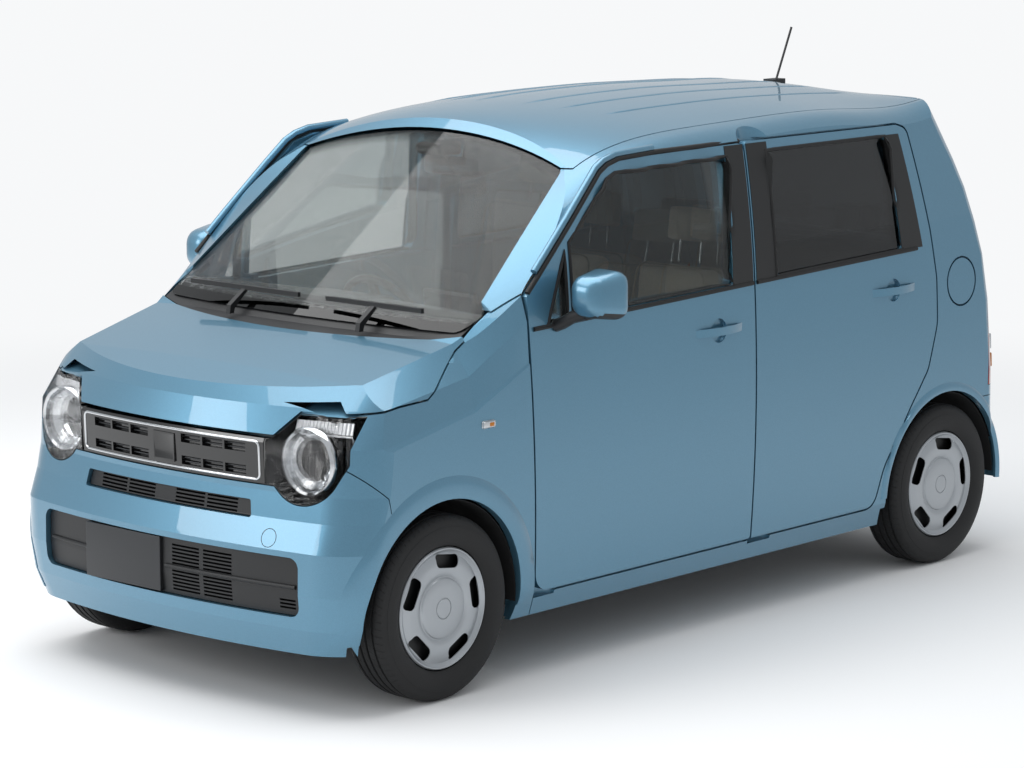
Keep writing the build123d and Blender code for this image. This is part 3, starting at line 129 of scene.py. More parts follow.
def grained(name, chart, gloss, scale, depth, mottle=0.12, spread=0.12, metal=0.0, coat=0.0):
    """Opaque finish with its own grain: gloss is the roughness, scale the grain per metre"""
    made, tree, shader = new_material(name, Metallic=metal, Coat_Weight=coat, Coat_Roughness=0.04)
    skin = node(tree, "ShaderNodeGroup", node_tree=grain)
    values = (colour(*chart), mottle, gloss - spread / 2, spread, scale, depth)
    for socket, value in zip(skin.inputs, values):
        socket.default_value = value
    link(tree, skin, "Colour", shader, "Base Color")
    link(tree, skin, "Roughness", shader, "Roughness")
    link(tree, skin, "Normal", shader, "Normal")
    made.diffuse_color = colour(*chart)
    return made


def finish_node(name, *materials):
    """Gives a CAD piece its finish"""
    piece = nodes[name]
    piece.data.materials.clear()
    for made in materials:
        piece.data.materials.append(made)
    return piece


primer = grained("chassis_primer", (30, 32, 34), 0.55, 420.0, 0.0003)
cast = grained("cast_iron", (52, 50, 48), 0.62, 260.0, 0.0006, metal=0.5)
for name in ("subframe", "floor_pan", "front_frame"):
    finish_node(name, primer)
finish_node("engine_block", cast)

# Rear axle, exhaust and knuckles
# The twist beam and the hubs are black steel and cast iron; the exhaust is plain steel pipe with a
# folded silencer, gone dull with heat.
pipe_steel = grained("exhaust_steel", (122, 116, 108), 0.42, 180.0, 0.0003, mottle=0.3, metal=0.9)
finish_node("rear_axle", primer)
finish_node("exhaust", pipe_steel)
for side in ("left", "right"):
    finish_node(f"knuckle_{side}", cast)

# Tyres: 155/65R14, black rubber on each wheel
# The carcass is turned from one profile with four tread grooves and two raised rings on the sidewall;
# cross sipes and shoulder blocks are cut finely by the surface itself.
SIDES = ((1, "left"), (-1, "right"))
AXLE_Y = {end: sum(c.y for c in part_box(f"tyre_{end}_left")) / 2 for end in ("front", "rear")}
WHEEL_X = sum(c.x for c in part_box("tyre_front_left")) / 2
TYRE_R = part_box("tyre_front_left")[1].z / 2


def take(piece):
    """Selects one piece and nothing else"""
    bpy.ops.object.select_all(action="DESELECT")
    piece.select_set(True)
    bpy.context.view_layer.objects.active = piece


def settle(piece):
    """Puts a piece's place into its mesh"""
    take(piece)
    bpy.ops.object.transform_apply(location=True, rotation=True, scale=True)
    return piece


def choose(piece, test):
    """Selects faces by centre and normal, and stays in edit mode"""
    take(piece)
    bpy.ops.object.mode_set(mode="EDIT")
    bpy.ops.mesh.select_mode(type="FACE")
    bpy.ops.mesh.select_all(action="DESELECT")
    bpy.ops.object.mode_set(mode="OBJECT")
    for face in piece.data.polygons:
        face.select = test(face.center, face.normal)
    bpy.ops.object.mode_set(mode="EDIT")


def block(place, size):
    """Plain block at its place, to be shaped"""
    bpy.ops.object.select_all(action="DESELECT")
    bpy.ops.mesh.primitive_cube_add(size=1, location=place, scale=size)
    return settle(bpy.context.object)


def rounded(piece, radius, segments, every_edge=False):
    """Rounds a piece's edges"""
    take(piece)
    bpy.ops.object.modifier_add(type="BEVEL")
    bevel = piece.modifiers[-1]
    bevel.width, bevel.segments = radius, segments
    if every_edge:
        bevel.limit_method = "NONE"
    bpy.ops.object.modifier_apply(modifier=bevel.name)
    return piece


def thicken(piece, wall, offset=-1.0):
    """Gives a shell its wall, to the inside, or about the middle where offset is 0"""
    take(piece)
    bpy.ops.object.modifier_add(type="SOLIDIFY")
    piece.modifiers[-1].thickness = wall
    piece.modifiers[-1].offset = offset
    bpy.ops.object.modifier_apply(modifier=piece.modifiers[-1].name)
    return piece


def fit_out(piece, name, body, finish, smooth=40):
    """Last step of a piece: name, smooth shading, finish, and the body that it rides on"""
    piece.name = name
    take(piece)
    bpy.ops.object.shade_smooth_by_angle(angle=radians(smooth))
    if finish:
        piece.data.materials.clear()
        piece.data.materials.append(finish)
    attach(piece, body)
    return piece


def drawn(points):
    """Draws a run of edges through points, and stays in edit mode with all selected"""
    bpy.ops.object.select_all(action="DESELECT")
    bpy.ops.mesh.primitive_plane_add(size=0.01, location=(0, 0, 0))
    piece = bpy.context.object
    bpy.ops.object.mode_set(mode="EDIT")
    bpy.ops.mesh.select_mode(type="VERT")
    bpy.ops.mesh.select_all(action="SELECT")
    bpy.ops.mesh.merge(type="CENTER")
    bpy.ops.transform.translate(value=points[0])
    for before, after in zip(points, points[1:]):
        bpy.ops.mesh.extrude_region_move(TRANSFORM_OT_translate={"value": Vector(after) - Vector(before)})
    bpy.ops.mesh.select_all(action="SELECT")
    return piece


def turned(profile, axis, place, steps=96):
    """Turns a profile of (out, radius) once round an axis through a place"""
    bpy.ops.object.select_all(action="DESELECT")
    along = Vector(axis)
    piece = drawn([along * out + Vector((0, 0, radius)) for out, radius in profile])
    bpy.ops.mesh.spin(steps=steps, angle=2 * pi, center=(0, 0, 0), axis=axis)
    bpy.ops.mesh.select_all(action="SELECT")
    bpy.ops.mesh.remove_doubles(threshold=0.00002)
    bpy.ops.mesh.normals_make_consistent(inside=False)
    bpy.ops.object.mode_set(mode="OBJECT")
    piece.location = place
    return settle(piece)


def spokes_of(tree, axle_y, count):
    """Saw wave that repeats round an axle, from Object coordinates"""
    where = node(tree, "ShaderNodeTexCoord")
    part = node(tree, "ShaderNodeSeparateXYZ")
    back = node(tree, "ShaderNodeMath", operation="SUBTRACT")
    up = node(tree, "ShaderNodeMath", operation="SUBTRACT")
    turn = node(tree, "ShaderNodeMath", operation="ARCTAN2")
    many = node(tree, "ShaderNodeMath", operation="MULTIPLY")
    skew = node(tree, "ShaderNodeMath", operation="MULTIPLY_ADD")
    saw = node(tree, "ShaderNodeMath", operation="PINGPONG")
    link(tree, where, "Object", part, 0)
    link(tree, part, "Y", back, 0)
    link(tree, part, "Z", up, 0)
    back.inputs[1].default_value = axle_y
    up.inputs[1].default_value = TYRE_R
    link(tree, back, 0, turn, 0)
    link(tree, up, 0, turn, 1)
    link(tree, turn, 0, many, 0)
    many.inputs[1].default_value = count / (2 * pi)
    link(tree, part, "X", skew, 0)
    skew.inputs[1].default_value = 22.0
    link(tree, many, 0, skew, 2)
    link(tree, skew, 0, saw, 0)
    saw.inputs[1].default_value = 0.5
    return saw, part, back, up


tyre_profile = [
    (-0.0615, 0.186), (-0.070, 0.196), (-0.0755, 0.212), (-0.0765, 0.230), (-0.0745, 0.244),
    (-0.0735, 0.2445), (-0.0715, 0.256), (-0.0675, 0.266), (-0.0585, 0.2745), (-0.050, 0.2775),
    (-0.047, 0.2777), (-0.046, 0.2725), (-0.040, 0.2725), (-0.039, 0.2782), (-0.018, 0.2785),
    (-0.017, 0.2725), (-0.010, 0.2725), (-0.009, 0.2785),
    (0.009, 0.2785), (0.010, 0.2725), (0.017, 0.2725), (0.018, 0.2785), (0.039, 0.2782), (0.040, 0.2725),
    (0.046, 0.2725), (0.047, 0.2777), (0.050, 0.2775), (0.0585, 0.2745), (0.0675, 0.266), (0.0715, 0.256),
    (0.0735, 0.2445), (0.0745, 0.244), (0.0765, 0.230), (0.0755, 0.212), (0.070, 0.196), (0.0615, 0.186),
]
for end, axle_y in AXLE_Y.items():
    rubber = grained(f"tyre_rubber_{end}", (25, 25, 26), 0.72, 900.0, 0.0002, mottle=0.2)
    tree = rubber.node_tree
    saw, part, back, up = spokes_of(tree, axle_y, 76)
    cut = node(tree, "ShaderNodeMapRange", From_Min=0.03, From_Max=0.07)
    radius = node(tree, "ShaderNodeVectorMath", operation="LENGTH")
    flat = node(tree, "ShaderNodeCombineXYZ")
    tread_only = node(tree, "ShaderNodeMapRange", From_Min=0.264, From_Max=0.268, To_Min=1.0, To_Max=0.0)
    cover = node(tree, "ShaderNodeMath", operation="MAXIMUM")
    sipes = node(tree, "ShaderNodeBump", Strength=0.9, Distance=0.004)
    link(tree, saw, 0, cut, "Value")
    link(tree, back, 0, flat, "Y")
    link(tree, up, 0, flat, "Z")
    link(tree, flat, 0, radius, 0)
    link(tree, radius, "Value", tread_only, "Value")
    link(tree, cut, "Result", cover, 0)
    link(tree, tread_only, "Result", cover, 1)
    link(tree, cover, 0, sipes, "Height")
    skin = [n for n in tree.nodes if n.type == "GROUP"][0]
    link(tree, skin, "Normal", sipes, "Normal")
    link(tree, sipes, "Normal", tree.nodes["Principled BSDF"], "Normal")
    for way, side in SIDES:
        body = f"wheel_{end}_{side}"
        carcass = turned(tyre_profile, (1, 0, 0), (way * WHEEL_X, axle_y, TYRE_R), 120)
        fit_out(carcass, f"tyre_carcass_{end}_{side}", body, rubber, 30)
        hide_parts(f"tyre_{end}_{side}")

# Wheels: steel rims behind full silver plastic covers with five rounded vents and a plain cap
# The cover is moulded in one piece, painted silver, and clips into the black steel rim.
VENTS, FIRST_VENT, COVER_WALL = 5, 64, 0.003
cover_silver = grained("cover_silver", (172, 176, 180), 0.36, 1500.0, 0.00004, mottle=0.05, spread=0.06,
                       metal=0.8)
rim_black = grained("rim_black", (16, 16, 17), 0.5, 400.0, 0.0002)
cover_profile = [
    (0.052, 0.1835), (0.0625, 0.1825), (0.0665, 0.179), (0.0665, 0.1755), (0.0615, 0.171), (0.0575, 0.164),
    (0.0595, 0.158), (0.0635, 0.150), (0.0655, 0.135), (0.0655, 0.112), (0.0635, 0.101), (0.0600, 0.0955),
    (0.0605, 0.0920), (0.0645, 0.0885), (0.0665, 0.082), (0.0675, 0.060), (0.0675, 0.0325), (0.0655, 0.0315),
    (0.0655, 0.0300), (0.0680, 0.0285), (0.0686, 0.020), (0.0688, 0.0),
]
rim_profile = [(-0.061, 0.1845), (-0.061, 0.178), (-0.050, 0.170), (0.030, 0.168), (0.034, 0.150),
               (0.030, 0.070), (0.046, 0.055), (0.046, 0.0)]
for end, axle_y in AXLE_Y.items():
    for way, side in SIDES:
        body = f"wheel_{end}_{side}"
        hub = Vector((way * WHEEL_X, axle_y, TYRE_R))
        cover = turned(cover_profile, (1, 0, 0), (0, 0, 0), 120)
        thicken(cover, COVER_WALL)
        for vent in range(VENTS):
            cutter = block((0.06, 0, 0.140), (0.06, 0.088, 0.040))
            choose(cutter, lambda c, n: n.z > 0.9)
            bpy.ops.transform.resize(value=(1, 1.16, 1))
            bpy.ops.object.mode_set(mode="OBJECT")
            rounded(cutter, 0.0145, 5)
            cutter.rotation_euler = (radians(FIRST_VENT + 360 / VENTS * vent), 0, 0)
            settle(cutter)
            take(cover)
            bpy.ops.object.modifier_add(type="BOOLEAN")
            cover.modifiers[-1].object = cutter
            cover.modifiers[-1].operation = "DIFFERENCE"
            bpy.ops.object.modifier_apply(modifier=cover.modifiers[-1].name)
            bpy.data.objects.remove(cutter)
        cover.location = hub
        if way < 0:
            cover.rotation_euler = (0, 0, pi)
        settle(cover)
        rim = turned([(way * out, r) for out, r in rim_profile], (1, 0, 0), hub, 72)
        thicken(rim, COVER_WALL)
        fit_out(cover, f"wheel_cover_{end}_{side}", body, cover_silver, 30)
        fit_out(rim, f"wheel_rim_{end}_{side}", body, rim_black, 30)
        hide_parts(f"wheel_{end}_{side}")
        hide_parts(f"wheel_{end}_{side}")

# Body shell: sides, roof, doors, bonnet, wings, bumpers, tailgate and flap
# Pressed steel and moulded bumpers, all sprayed the same steel blue metallic: a coat with fine
# aluminium flakes under a clear lacquer, slightly rippled like orange peel.
flakes, given, put = new_group(
    "metallic_flakes",
    [("Colour", "Color", (1, 1, 1, 1)), ("Flake Scale", "Float", 900.0), ("Sparkle", "Float", 0.2)],
    [("Colour", "Color"), ("Normal", "Vector")],
)
place = node(flakes, "ShaderNodeTexCoord")
cells = node(flakes, "ShaderNodeTexVoronoi")
lift = node(flakes, "ShaderNodeMapRange", To_Min=0.8, To_Max=1.2)
tint = node(flakes, "ShaderNodeMix", data_type="RGBA", blend_type="MULTIPLY")
peel = node(flakes, "ShaderNodeTexNoise", Scale=240.0, Detail=1.0)
ripple = node(flakes, "ShaderNodeBump", Strength=1.0, Distance=0.00003)
link(flakes, place, "Object", cells, "Vector")
link(flakes, place, "Object", peel, "Vector")
link(flakes, given, "Flake Scale", cells, "Scale")
link(flakes, cells, "Color", lift, "Value")
link(flakes, given, "Sparkle", tint, "Factor")
link(flakes, given, "Colour", tint, "A")
link(flakes, lift, "Result", tint, "B")
link(flakes, tint, "Result", put, "Colour")
link(flakes, peel, "Fac", ripple, "Height")
link(flakes, ripple, "Normal", put, "Normal")

paint, tree, lacquer = new_material(
    "steel_blue_metallic", Metallic=0.72, Roughness=0.38, Coat_Weight=0.9, Coat_Roughness=0.02)
coat = node(tree, "ShaderNodeGroup", node_tree=flakes)
coat.inputs["Colour"].default_value = colour(90, 137, 162)
coat.inputs["Sparkle"].default_value = 0.5
link(tree, coat, "Colour", lacquer, "Base Color")
link(tree, coat, "Normal", lacquer, "Normal")
painted = ["roof", "bonnet", "front_wings", "front_bumper", "rear_bumper", "tailgate", "fuel_flap"]
for side in ("left", "right"):
    painted += [f"body_side_{side}", f"door_front_{side}", f"door_rear_{side}", f"mirror_{side}"]
for name in painted:
    finish_node(name, paint)


def clear_glass(name, chart, opaque):
    """Tinted glass: chart is the tint, opaque how much of it hides what is behind"""
    return new_material(name, Base_Color=colour(*chart), Roughness=0.0, Transmission_Weight=1.0, IOR=1.1,
                        Coat_Weight=1.0, Coat_Roughness=0.0, Alpha=opaque)[0]


light_glass = clear_glass("green_glass", (176, 188, 184), 0.5)
privacy_glass = clear_glass("privacy_glass", (52, 56, 58), 0.85)
for name in ("glass_front_left", "glass_front_right"):
    finish_node(name, light_glass)
for name in ("glass_rear_left", "glass_rear_right", "tailgate_glass"):
    finish_node(name, privacy_glass)
black_plastic = grained("black_moulding", (24, 25, 27), 0.45, 500.0, 0.0002)
liner_plastic = grained("liner_plastic", (20, 20, 21), 0.8, 200.0, 0.0006)
dash_skin = grained("dash_skin", (38, 37, 36), 0.6, 700.0, 0.0003)
seat_base = grained("seat_cloth", (170, 160, 146), 0.85, 700.0, 0.0003)
for name in ("lower_grilles", "cowl", "wipers", "aerial"):
    finish_node(name, black_plastic)
finish_node("arch_liners", liner_plastic)
for name in ("dashboard", "steering_wheel"):
    finish_node(name, dash_skin)
for name in ("front_seats", "rear_seat"):
    finish_node(name, seat_base)
lamp_red = grained("tail_red", (150, 16, 18), 0.1, 100.0, 0.0001, coat=1.0)
lamp_clear = grained("lamp_silver", (200, 202, 205), 0.1, 100.0, 0.0001, metal=0.8)
finish_node("tail_lamps", lamp_red)

# Headlamps: black housing, chrome ringed round reflector, ribbed turn strip above, and one clear lens
# The housing and lens are moulded; the bowls are metallised plastic. Lens and housing take the form of
# the lamp's solid, so they sit flush in the wing.


def copy_of(name, new_name):
    """Merged copy of a CAD piece's mesh, to be cut into a new piece"""
    bpy.ops.object.select_all(action="DESELECT")
    piece = bpy.data.objects.new(new_name, nodes[name].data.copy())
    bpy.context.scene.collection.objects.link(piece)
    piece.data.materials.clear()
    take(piece)
    bpy.ops.object.mode_set(mode="EDIT")
    bpy.ops.mesh.select_all(action="SELECT")
    bpy.ops.mesh.remove_doubles(threshold=0.00005)
    bpy.ops.object.mode_set(mode="OBJECT")
    return piece


def cut_away(piece, test):
    """Deletes the faces that a test picks"""
    choose(piece, test)
    bpy.ops.mesh.delete(type="FACE")
    bpy.ops.object.mode_set(mode="OBJECT")
    return piece


def keep_side(piece, point, normal):
    """Cuts a piece by a plane and keeps the side that the normal points to"""
    take(piece)
    bpy.ops.object.mode_set(mode="EDIT")
    bpy.ops.mesh.select_all(action="SELECT")
    bpy.ops.mesh.bisect(plane_co=point, plane_no=normal, clear_inner=True)
    bpy.ops.object.mode_set(mode="OBJECT")
    return piece


def line(name, points, radius, body, finish, closed=False):
    """Round bead or rod through points, as a curve made a mesh"""
    bpy.ops.object.select_all(action="DESELECT")
    bpy.ops.object.add(type="CURVE")
    rod = bpy.context.object
    rod.data.dimensions = "3D"
    run = rod.data.splines.new("POLY")
    run.points.add(len(points) - 1)
    for dot, point in zip(run.points, points):
        dot.co = (*point, 1)
    run.use_cyclic_u = closed
    rod.data.bevel_depth = radius
    rod.data.bevel_resolution = 2
    rod.data.use_fill_caps = not closed
    bpy.ops.object.convert(target="MESH")
    rod = bpy.context.object
    return fit_out(rod, name, body, finish, 50)


faces_of = {}


def met(name, start, aim):
    """Point where a straight line first meets a CAD piece, or None"""
    if name not in faces_of:
        mesh = nodes[name].data
        corners = [dot.co for dot in mesh.vertices]
        faces_of[name] = BVHTree.FromPolygons(corners, [face.vertices[:] for face in mesh.polygons])
    return faces_of[name].ray_cast(Vector(start), Vector(aim))[0]


def front_at(name, x, z):
    """Front face of a CAD piece at a width and height"""
    point = met(name, (x, -3, z), (0, 1, 0))
    return point.y if point else None


def polished(name, chart, gloss, metal=1.0):
    return grained(name, chart, gloss, 60.0, 0.00001, mottle=0.04, spread=0.03, metal=metal)


chrome = polished("chrome", (212, 214, 216), 0.08)
mirror_bowl = polished("metallised_bowl", (226, 228, 230), 0.05)
gloss_black = grained("gloss_black", (8, 8, 9), 0.18, 300.0, 0.00002, coat=0.6)
clear_lens = new_material("clear_lens", Base_Color=(1, 1, 1, 1), Roughness=0.02, Transmission_Weight=1.0,
                          IOR=1.2, Alpha=0.35)[0]
ribbed = grained("ribbed_turn_lens", (208, 210, 212), 0.2, 40.0, 0.0001, metal=0.6)
tree = ribbed.node_tree
where = node(tree, "ShaderNodeTexCoord")
wave = node(tree, "ShaderNodeTexWave", bands_direction="X", Scale=28.0)
flute = node(tree, "ShaderNodeBump", Strength=0.7, Distance=0.003)
link(tree, where, "Object", wave, "Vector")
link(tree, wave, "Fac", flute, "Height")
link(tree, flute, "Normal", tree.nodes["Principled BSDF"], "Normal")
amber = grained("amber_hint", (196, 120, 40), 0.25, 60.0, 0.00005, metal=0.3)

LAMP_X, LAMP_Z, RING_R = 0.530, 0.743, 0.098
for way, side in SIDES:
    lens = cut_away(copy_of("headlamps", "lens"),
                    lambda c, n: c.x * way < 0 or not (n.y < -0.3 or n.x * way > 0.55))
    cut_away(lens, lambda c, n: c.y > -1.47)
    thicken(lens, 0.0025)
    fit_out(lens, f"lamp_lens_{side}", "body", clear_lens, 30)
    housing = cut_away(copy_of("headlamps", "housing"),
                       lambda c, n: c.x * way < 0 or n.y < -0.3 or n.x * way > 0.55)
    thicken(housing, 0.002)
    fit_out(housing, f"lamp_housing_{side}", "body", gloss_black, 30)
    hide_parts("headlamps")
    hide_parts("headlamps")
    face_y = front_at("headlamps", way * LAMP_X, LAMP_Z)
    centre = (way * LAMP_X, face_y + 0.022, LAMP_Z)
    ring = turned([(0.016, RING_R + 0.004), (-0.002, RING_R + 0.003), (-0.006, RING_R - 0.002),
                   (0.0, RING_R - 0.008)], (0, 1, 0), centre, 72)
    fit_out(ring, f"lamp_ring_{side}", "body", chrome, 60)
    bowl = turned([(0.0, RING_R - 0.008), (0.022, 0.084), (0.040, 0.062), (0.052, 0.036), (0.056, 0.024),
                   (0.056, 0.0)], (0, 1, 0), centre, 28)
    fit_out(bowl, f"lamp_bowl_{side}", "body", mirror_bowl, 8)
    eye = turned([(0.050, 0.030), (0.030, 0.029), (0.012, 0.024), (0.004, 0.014), (0.002, 0.0)],
                 (0, 1, 0), centre, 40)
    fit_out(eye, f"lamp_eye_{side}", "body", clear_lens, 60)
    # Turn strip: a bar of ribbed lens that follows the lamp's upper edge
    strip_points = [(way * x, front_at("headlamps", way * x, 0.842))
                    for x in (0.47, 0.51, 0.55, 0.59, 0.62, 0.645)]
    strip_points = [(x, y) for x, y in strip_points if y is not None]
    strip = drawn([(x, y + 0.012, 0.824) for x, y in strip_points])
    bpy.ops.mesh.extrude_region_move(TRANSFORM_OT_translate={"value": (0, 0.008, 0.034)})
    bpy.ops.object.mode_set(mode="OBJECT")
    thicken(strip, 0.004, 0)
    fit_out(strip, f"turn_strip_{side}", "body", ribbed, 40)
    under = [(x, y + 0.010, 0.819) for x, y in strip_points]
    edge_x, edge_y, _ = under[-1]
    for drop in (0.79, 0.76, 0.72):
        reach = front_at("headlamps", edge_x, drop)
        if reach is not None:
            under.append((edge_x, max(reach, edge_y) + 0.012, drop))
    line(f"lamp_chrome_line_{side}", under, 0.0028, "body", chrome)

# Wing lips over the headlamps
# Each closes the slot between the bonnet's corner and the lamp, and is painted with the wing.


def top_at(name, x, y):
    """Upper face of a CAD piece at a place"""
    point = met(name, (x, y, 3), (0, 0, -1))
    return point.z if point else None


for way, side in SIDES:
    bpy.ops.object.select_all(action="DESELECT")
    bpy.ops.mesh.primitive_grid_add(x_subdivisions=16, y_subdivisions=12, size=1)
    lip = bpy.context.object
    for dot in lip.data.vertices:
        x = 0.540 + 0.205 * dot.co.x
        fore = (front_at("headlamps", way * x, 0.866) or -1.53) + 0.006
        y = fore + (-1.43 - fore) * (dot.co.y + 0.5)
        hood = top_at("bonnet", way * x, y)
        height = 0.873 + 0.38 * (y - fore)
        dot.co = (way * x, y, min(height, (hood or 1.0) - 0.008))
    thicken(lip, 0.0015)
    fit_out(lip, f"lamp_top_lip_{side}", "body", paint, 40)

# Grille: black moulding with a thin chrome frame, bars across its cells and a bare centre plaque
# The frame is one plated bead with rounded corners that lies on the moulding's face.
FRAME_X, FRAME_LOW, FRAME_HIGH, FRAME_ROUND = 0.379, 0.679, 0.791, 0.016
finish_node("grille", gloss_black)


def rounded_ring(half_x, low, high, round_r, steps=5):
    """Front view points of a rectangle with round corners"""
    points = []
    for cx, cz, start in ((half_x - round_r, high - round_r, 0), (-half_x + round_r, high - round_r, 90),
                          (-half_x + round_r, low + round_r, 180), (half_x - round_r, low + round_r, 270)):
        for step in range(steps + 1):
            a = radians(start + 90 * step / steps)
            points.append((cx + round_r * cos(a), cz + round_r * sin(a)))
    return points


def filled_in(points, pitch=0.03):
    """Adds points on the long runs so that a bead follows a curved face"""
    full = []
    for (x0, z0), (x1, z1) in zip(points, points[1:] + points[:1]):
        count = max(1, int(hypot(x1 - x0, z1 - z0) / pitch))
        full += [(x0 + (x1 - x0) * i / count, z0 + (z1 - z0) * i / count) for i in range(count)]
    return full


frame_line = [(x, front_at("grille", x, z) or -1.63, z) for x, z in
              filled_in(rounded_ring(FRAME_X, FRAME_LOW, FRAME_HIGH, FRAME_ROUND))]
line("grille_chrome_frame", frame_line, 0.0042, "body", chrome, closed=True)
bar_grey = grained("grille_bar", (58, 60, 63), 0.4, 400.0, 0.0001)
for way in (-1, 1):
    for row, height in enumerate((0.702, 0.768)):
        for slat in (-0.006, 0.006):
            run = [(way * x, (front_at("grille", way * 0.156, height + 0.02) or -1.63) + 0.012, height + slat)
                   for x in (0.075, 0.20, 0.325)]
            run = [(x, (front_at("front_bumper", x, 0.64) or y) + 0.018, z) for x, y, z in run]
            line(f"grille_bar_{'l' if way > 0 else 'r'}{row}_{'a' if slat < 0 else 'b'}", run, 0.0026, "body",
                 bar_grey)
GRILLE_MID = (FRAME_LOW + FRAME_HIGH) / 2
plaque = block((0, front_at("grille", 0, GRILLE_MID), GRILLE_MID), (0.092, 0.010, 0.086))
choose(plaque, lambda c, n: n.y < -0.9)
bpy.ops.mesh.inset(thickness=0.008)
bpy.ops.transform.translate(value=(0, 0.003, 0))
bpy.ops.object.mode_set(mode="OBJECT")
rounded(plaque, 0.002, 2)
fit_out(plaque, "grille_plaque", "body", gloss_black)
# Side glass surrounds: black film on the frames, rubber round each pane, and the belt mouldings
# The film is a matt black tape on the door frames and centre pillar; the mouldings are black rubber
# with a metal core, clipped along the foot of the glass.
BELT_Z, BELT_RISE = 1.068, 0.029
A_POST_Y = -0.862
tape = grained("pillar_tape", (14, 15, 16), 0.42, 500.0, 0.00006, mottle=0.05)
rubber_black = grained("seal_rubber", (15, 15, 16), 0.62, 600.0, 0.0001)


def belt_z(y):
    return BELT_Z + BELT_RISE * (y - A_POST_Y)


def side_at(name, way, y, z):
    """Outer face of a CAD piece at a place along the car and a height"""
    point = met(name, (way * 2, y, z), (-way, 0, 0))
    return point.x if point else None


def skin_at(way, y, z):
    """Outer face of whatever panel is there"""
    side = "left" if way > 0 else "right"
    found = [side_at(f"{part}_{side}", way, y, z) for part in ("door_front", "door_rear", "body_side")]
    found = [x for x in found if x is not None]
    return max(found, key=abs) if found else way * 0.70


def film(name, source, way, planes, body, finish, lift=0.0012):
    """Tape on a panel: the panel's own outer faces between some planes, lifted off it"""
    piece = copy_of(source, name)
    cut_away(piece, lambda c, n: n.x * way < 0.5)
    for point, normal in planes:
        keep_side(piece, point, normal)
    cut_away(piece, lambda c, n: abs(c.x) < abs(skin_at(way, c.y, c.z)) - 0.006)
    take(piece)
    bpy.ops.object.mode_set(mode="EDIT")
    bpy.ops.mesh.select_all(action="SELECT")
    bpy.ops.transform.translate(value=(way * lift, 0, 0))
    bpy.ops.object.mode_set(mode="OBJECT")
    thicken(piece, 0.001)
    return fit_out(piece, name, body, finish, 30)


def laid(name, way, front_edge, rear_edge, low, high, body, finish):
    """Tape laid on the skin between a front and a rear edge, each (y at the foot, y at the top)"""
    bpy.ops.object.select_all(action="DESELECT")
    bpy.ops.mesh.primitive_grid_add(x_subdivisions=8, y_subdivisions=16, size=1)
    sheet = bpy.context.object
    for dot in sheet.data.vertices:
        across, up = dot.co.x + 0.5, dot.co.y + 0.5
        z = low + (high - low) * up
        fore = front_edge[0] + (front_edge[1] - front_edge[0]) * up
        aft = rear_edge[0] + (rear_edge[1] - rear_edge[0]) * up
        y = fore + (aft - fore) * across
        face = max(abs(skin_at(way, place, z)) for place in (y, fore + 0.02, aft - 0.01))
        near = abs(skin_at(way, y, z))
        dot.co = (way * (near if face - near < 0.012 else face) + way * 0.0016, y, z)
    thicken(sheet, 0.0012)
    return fit_out(sheet, name, body, finish, 30)


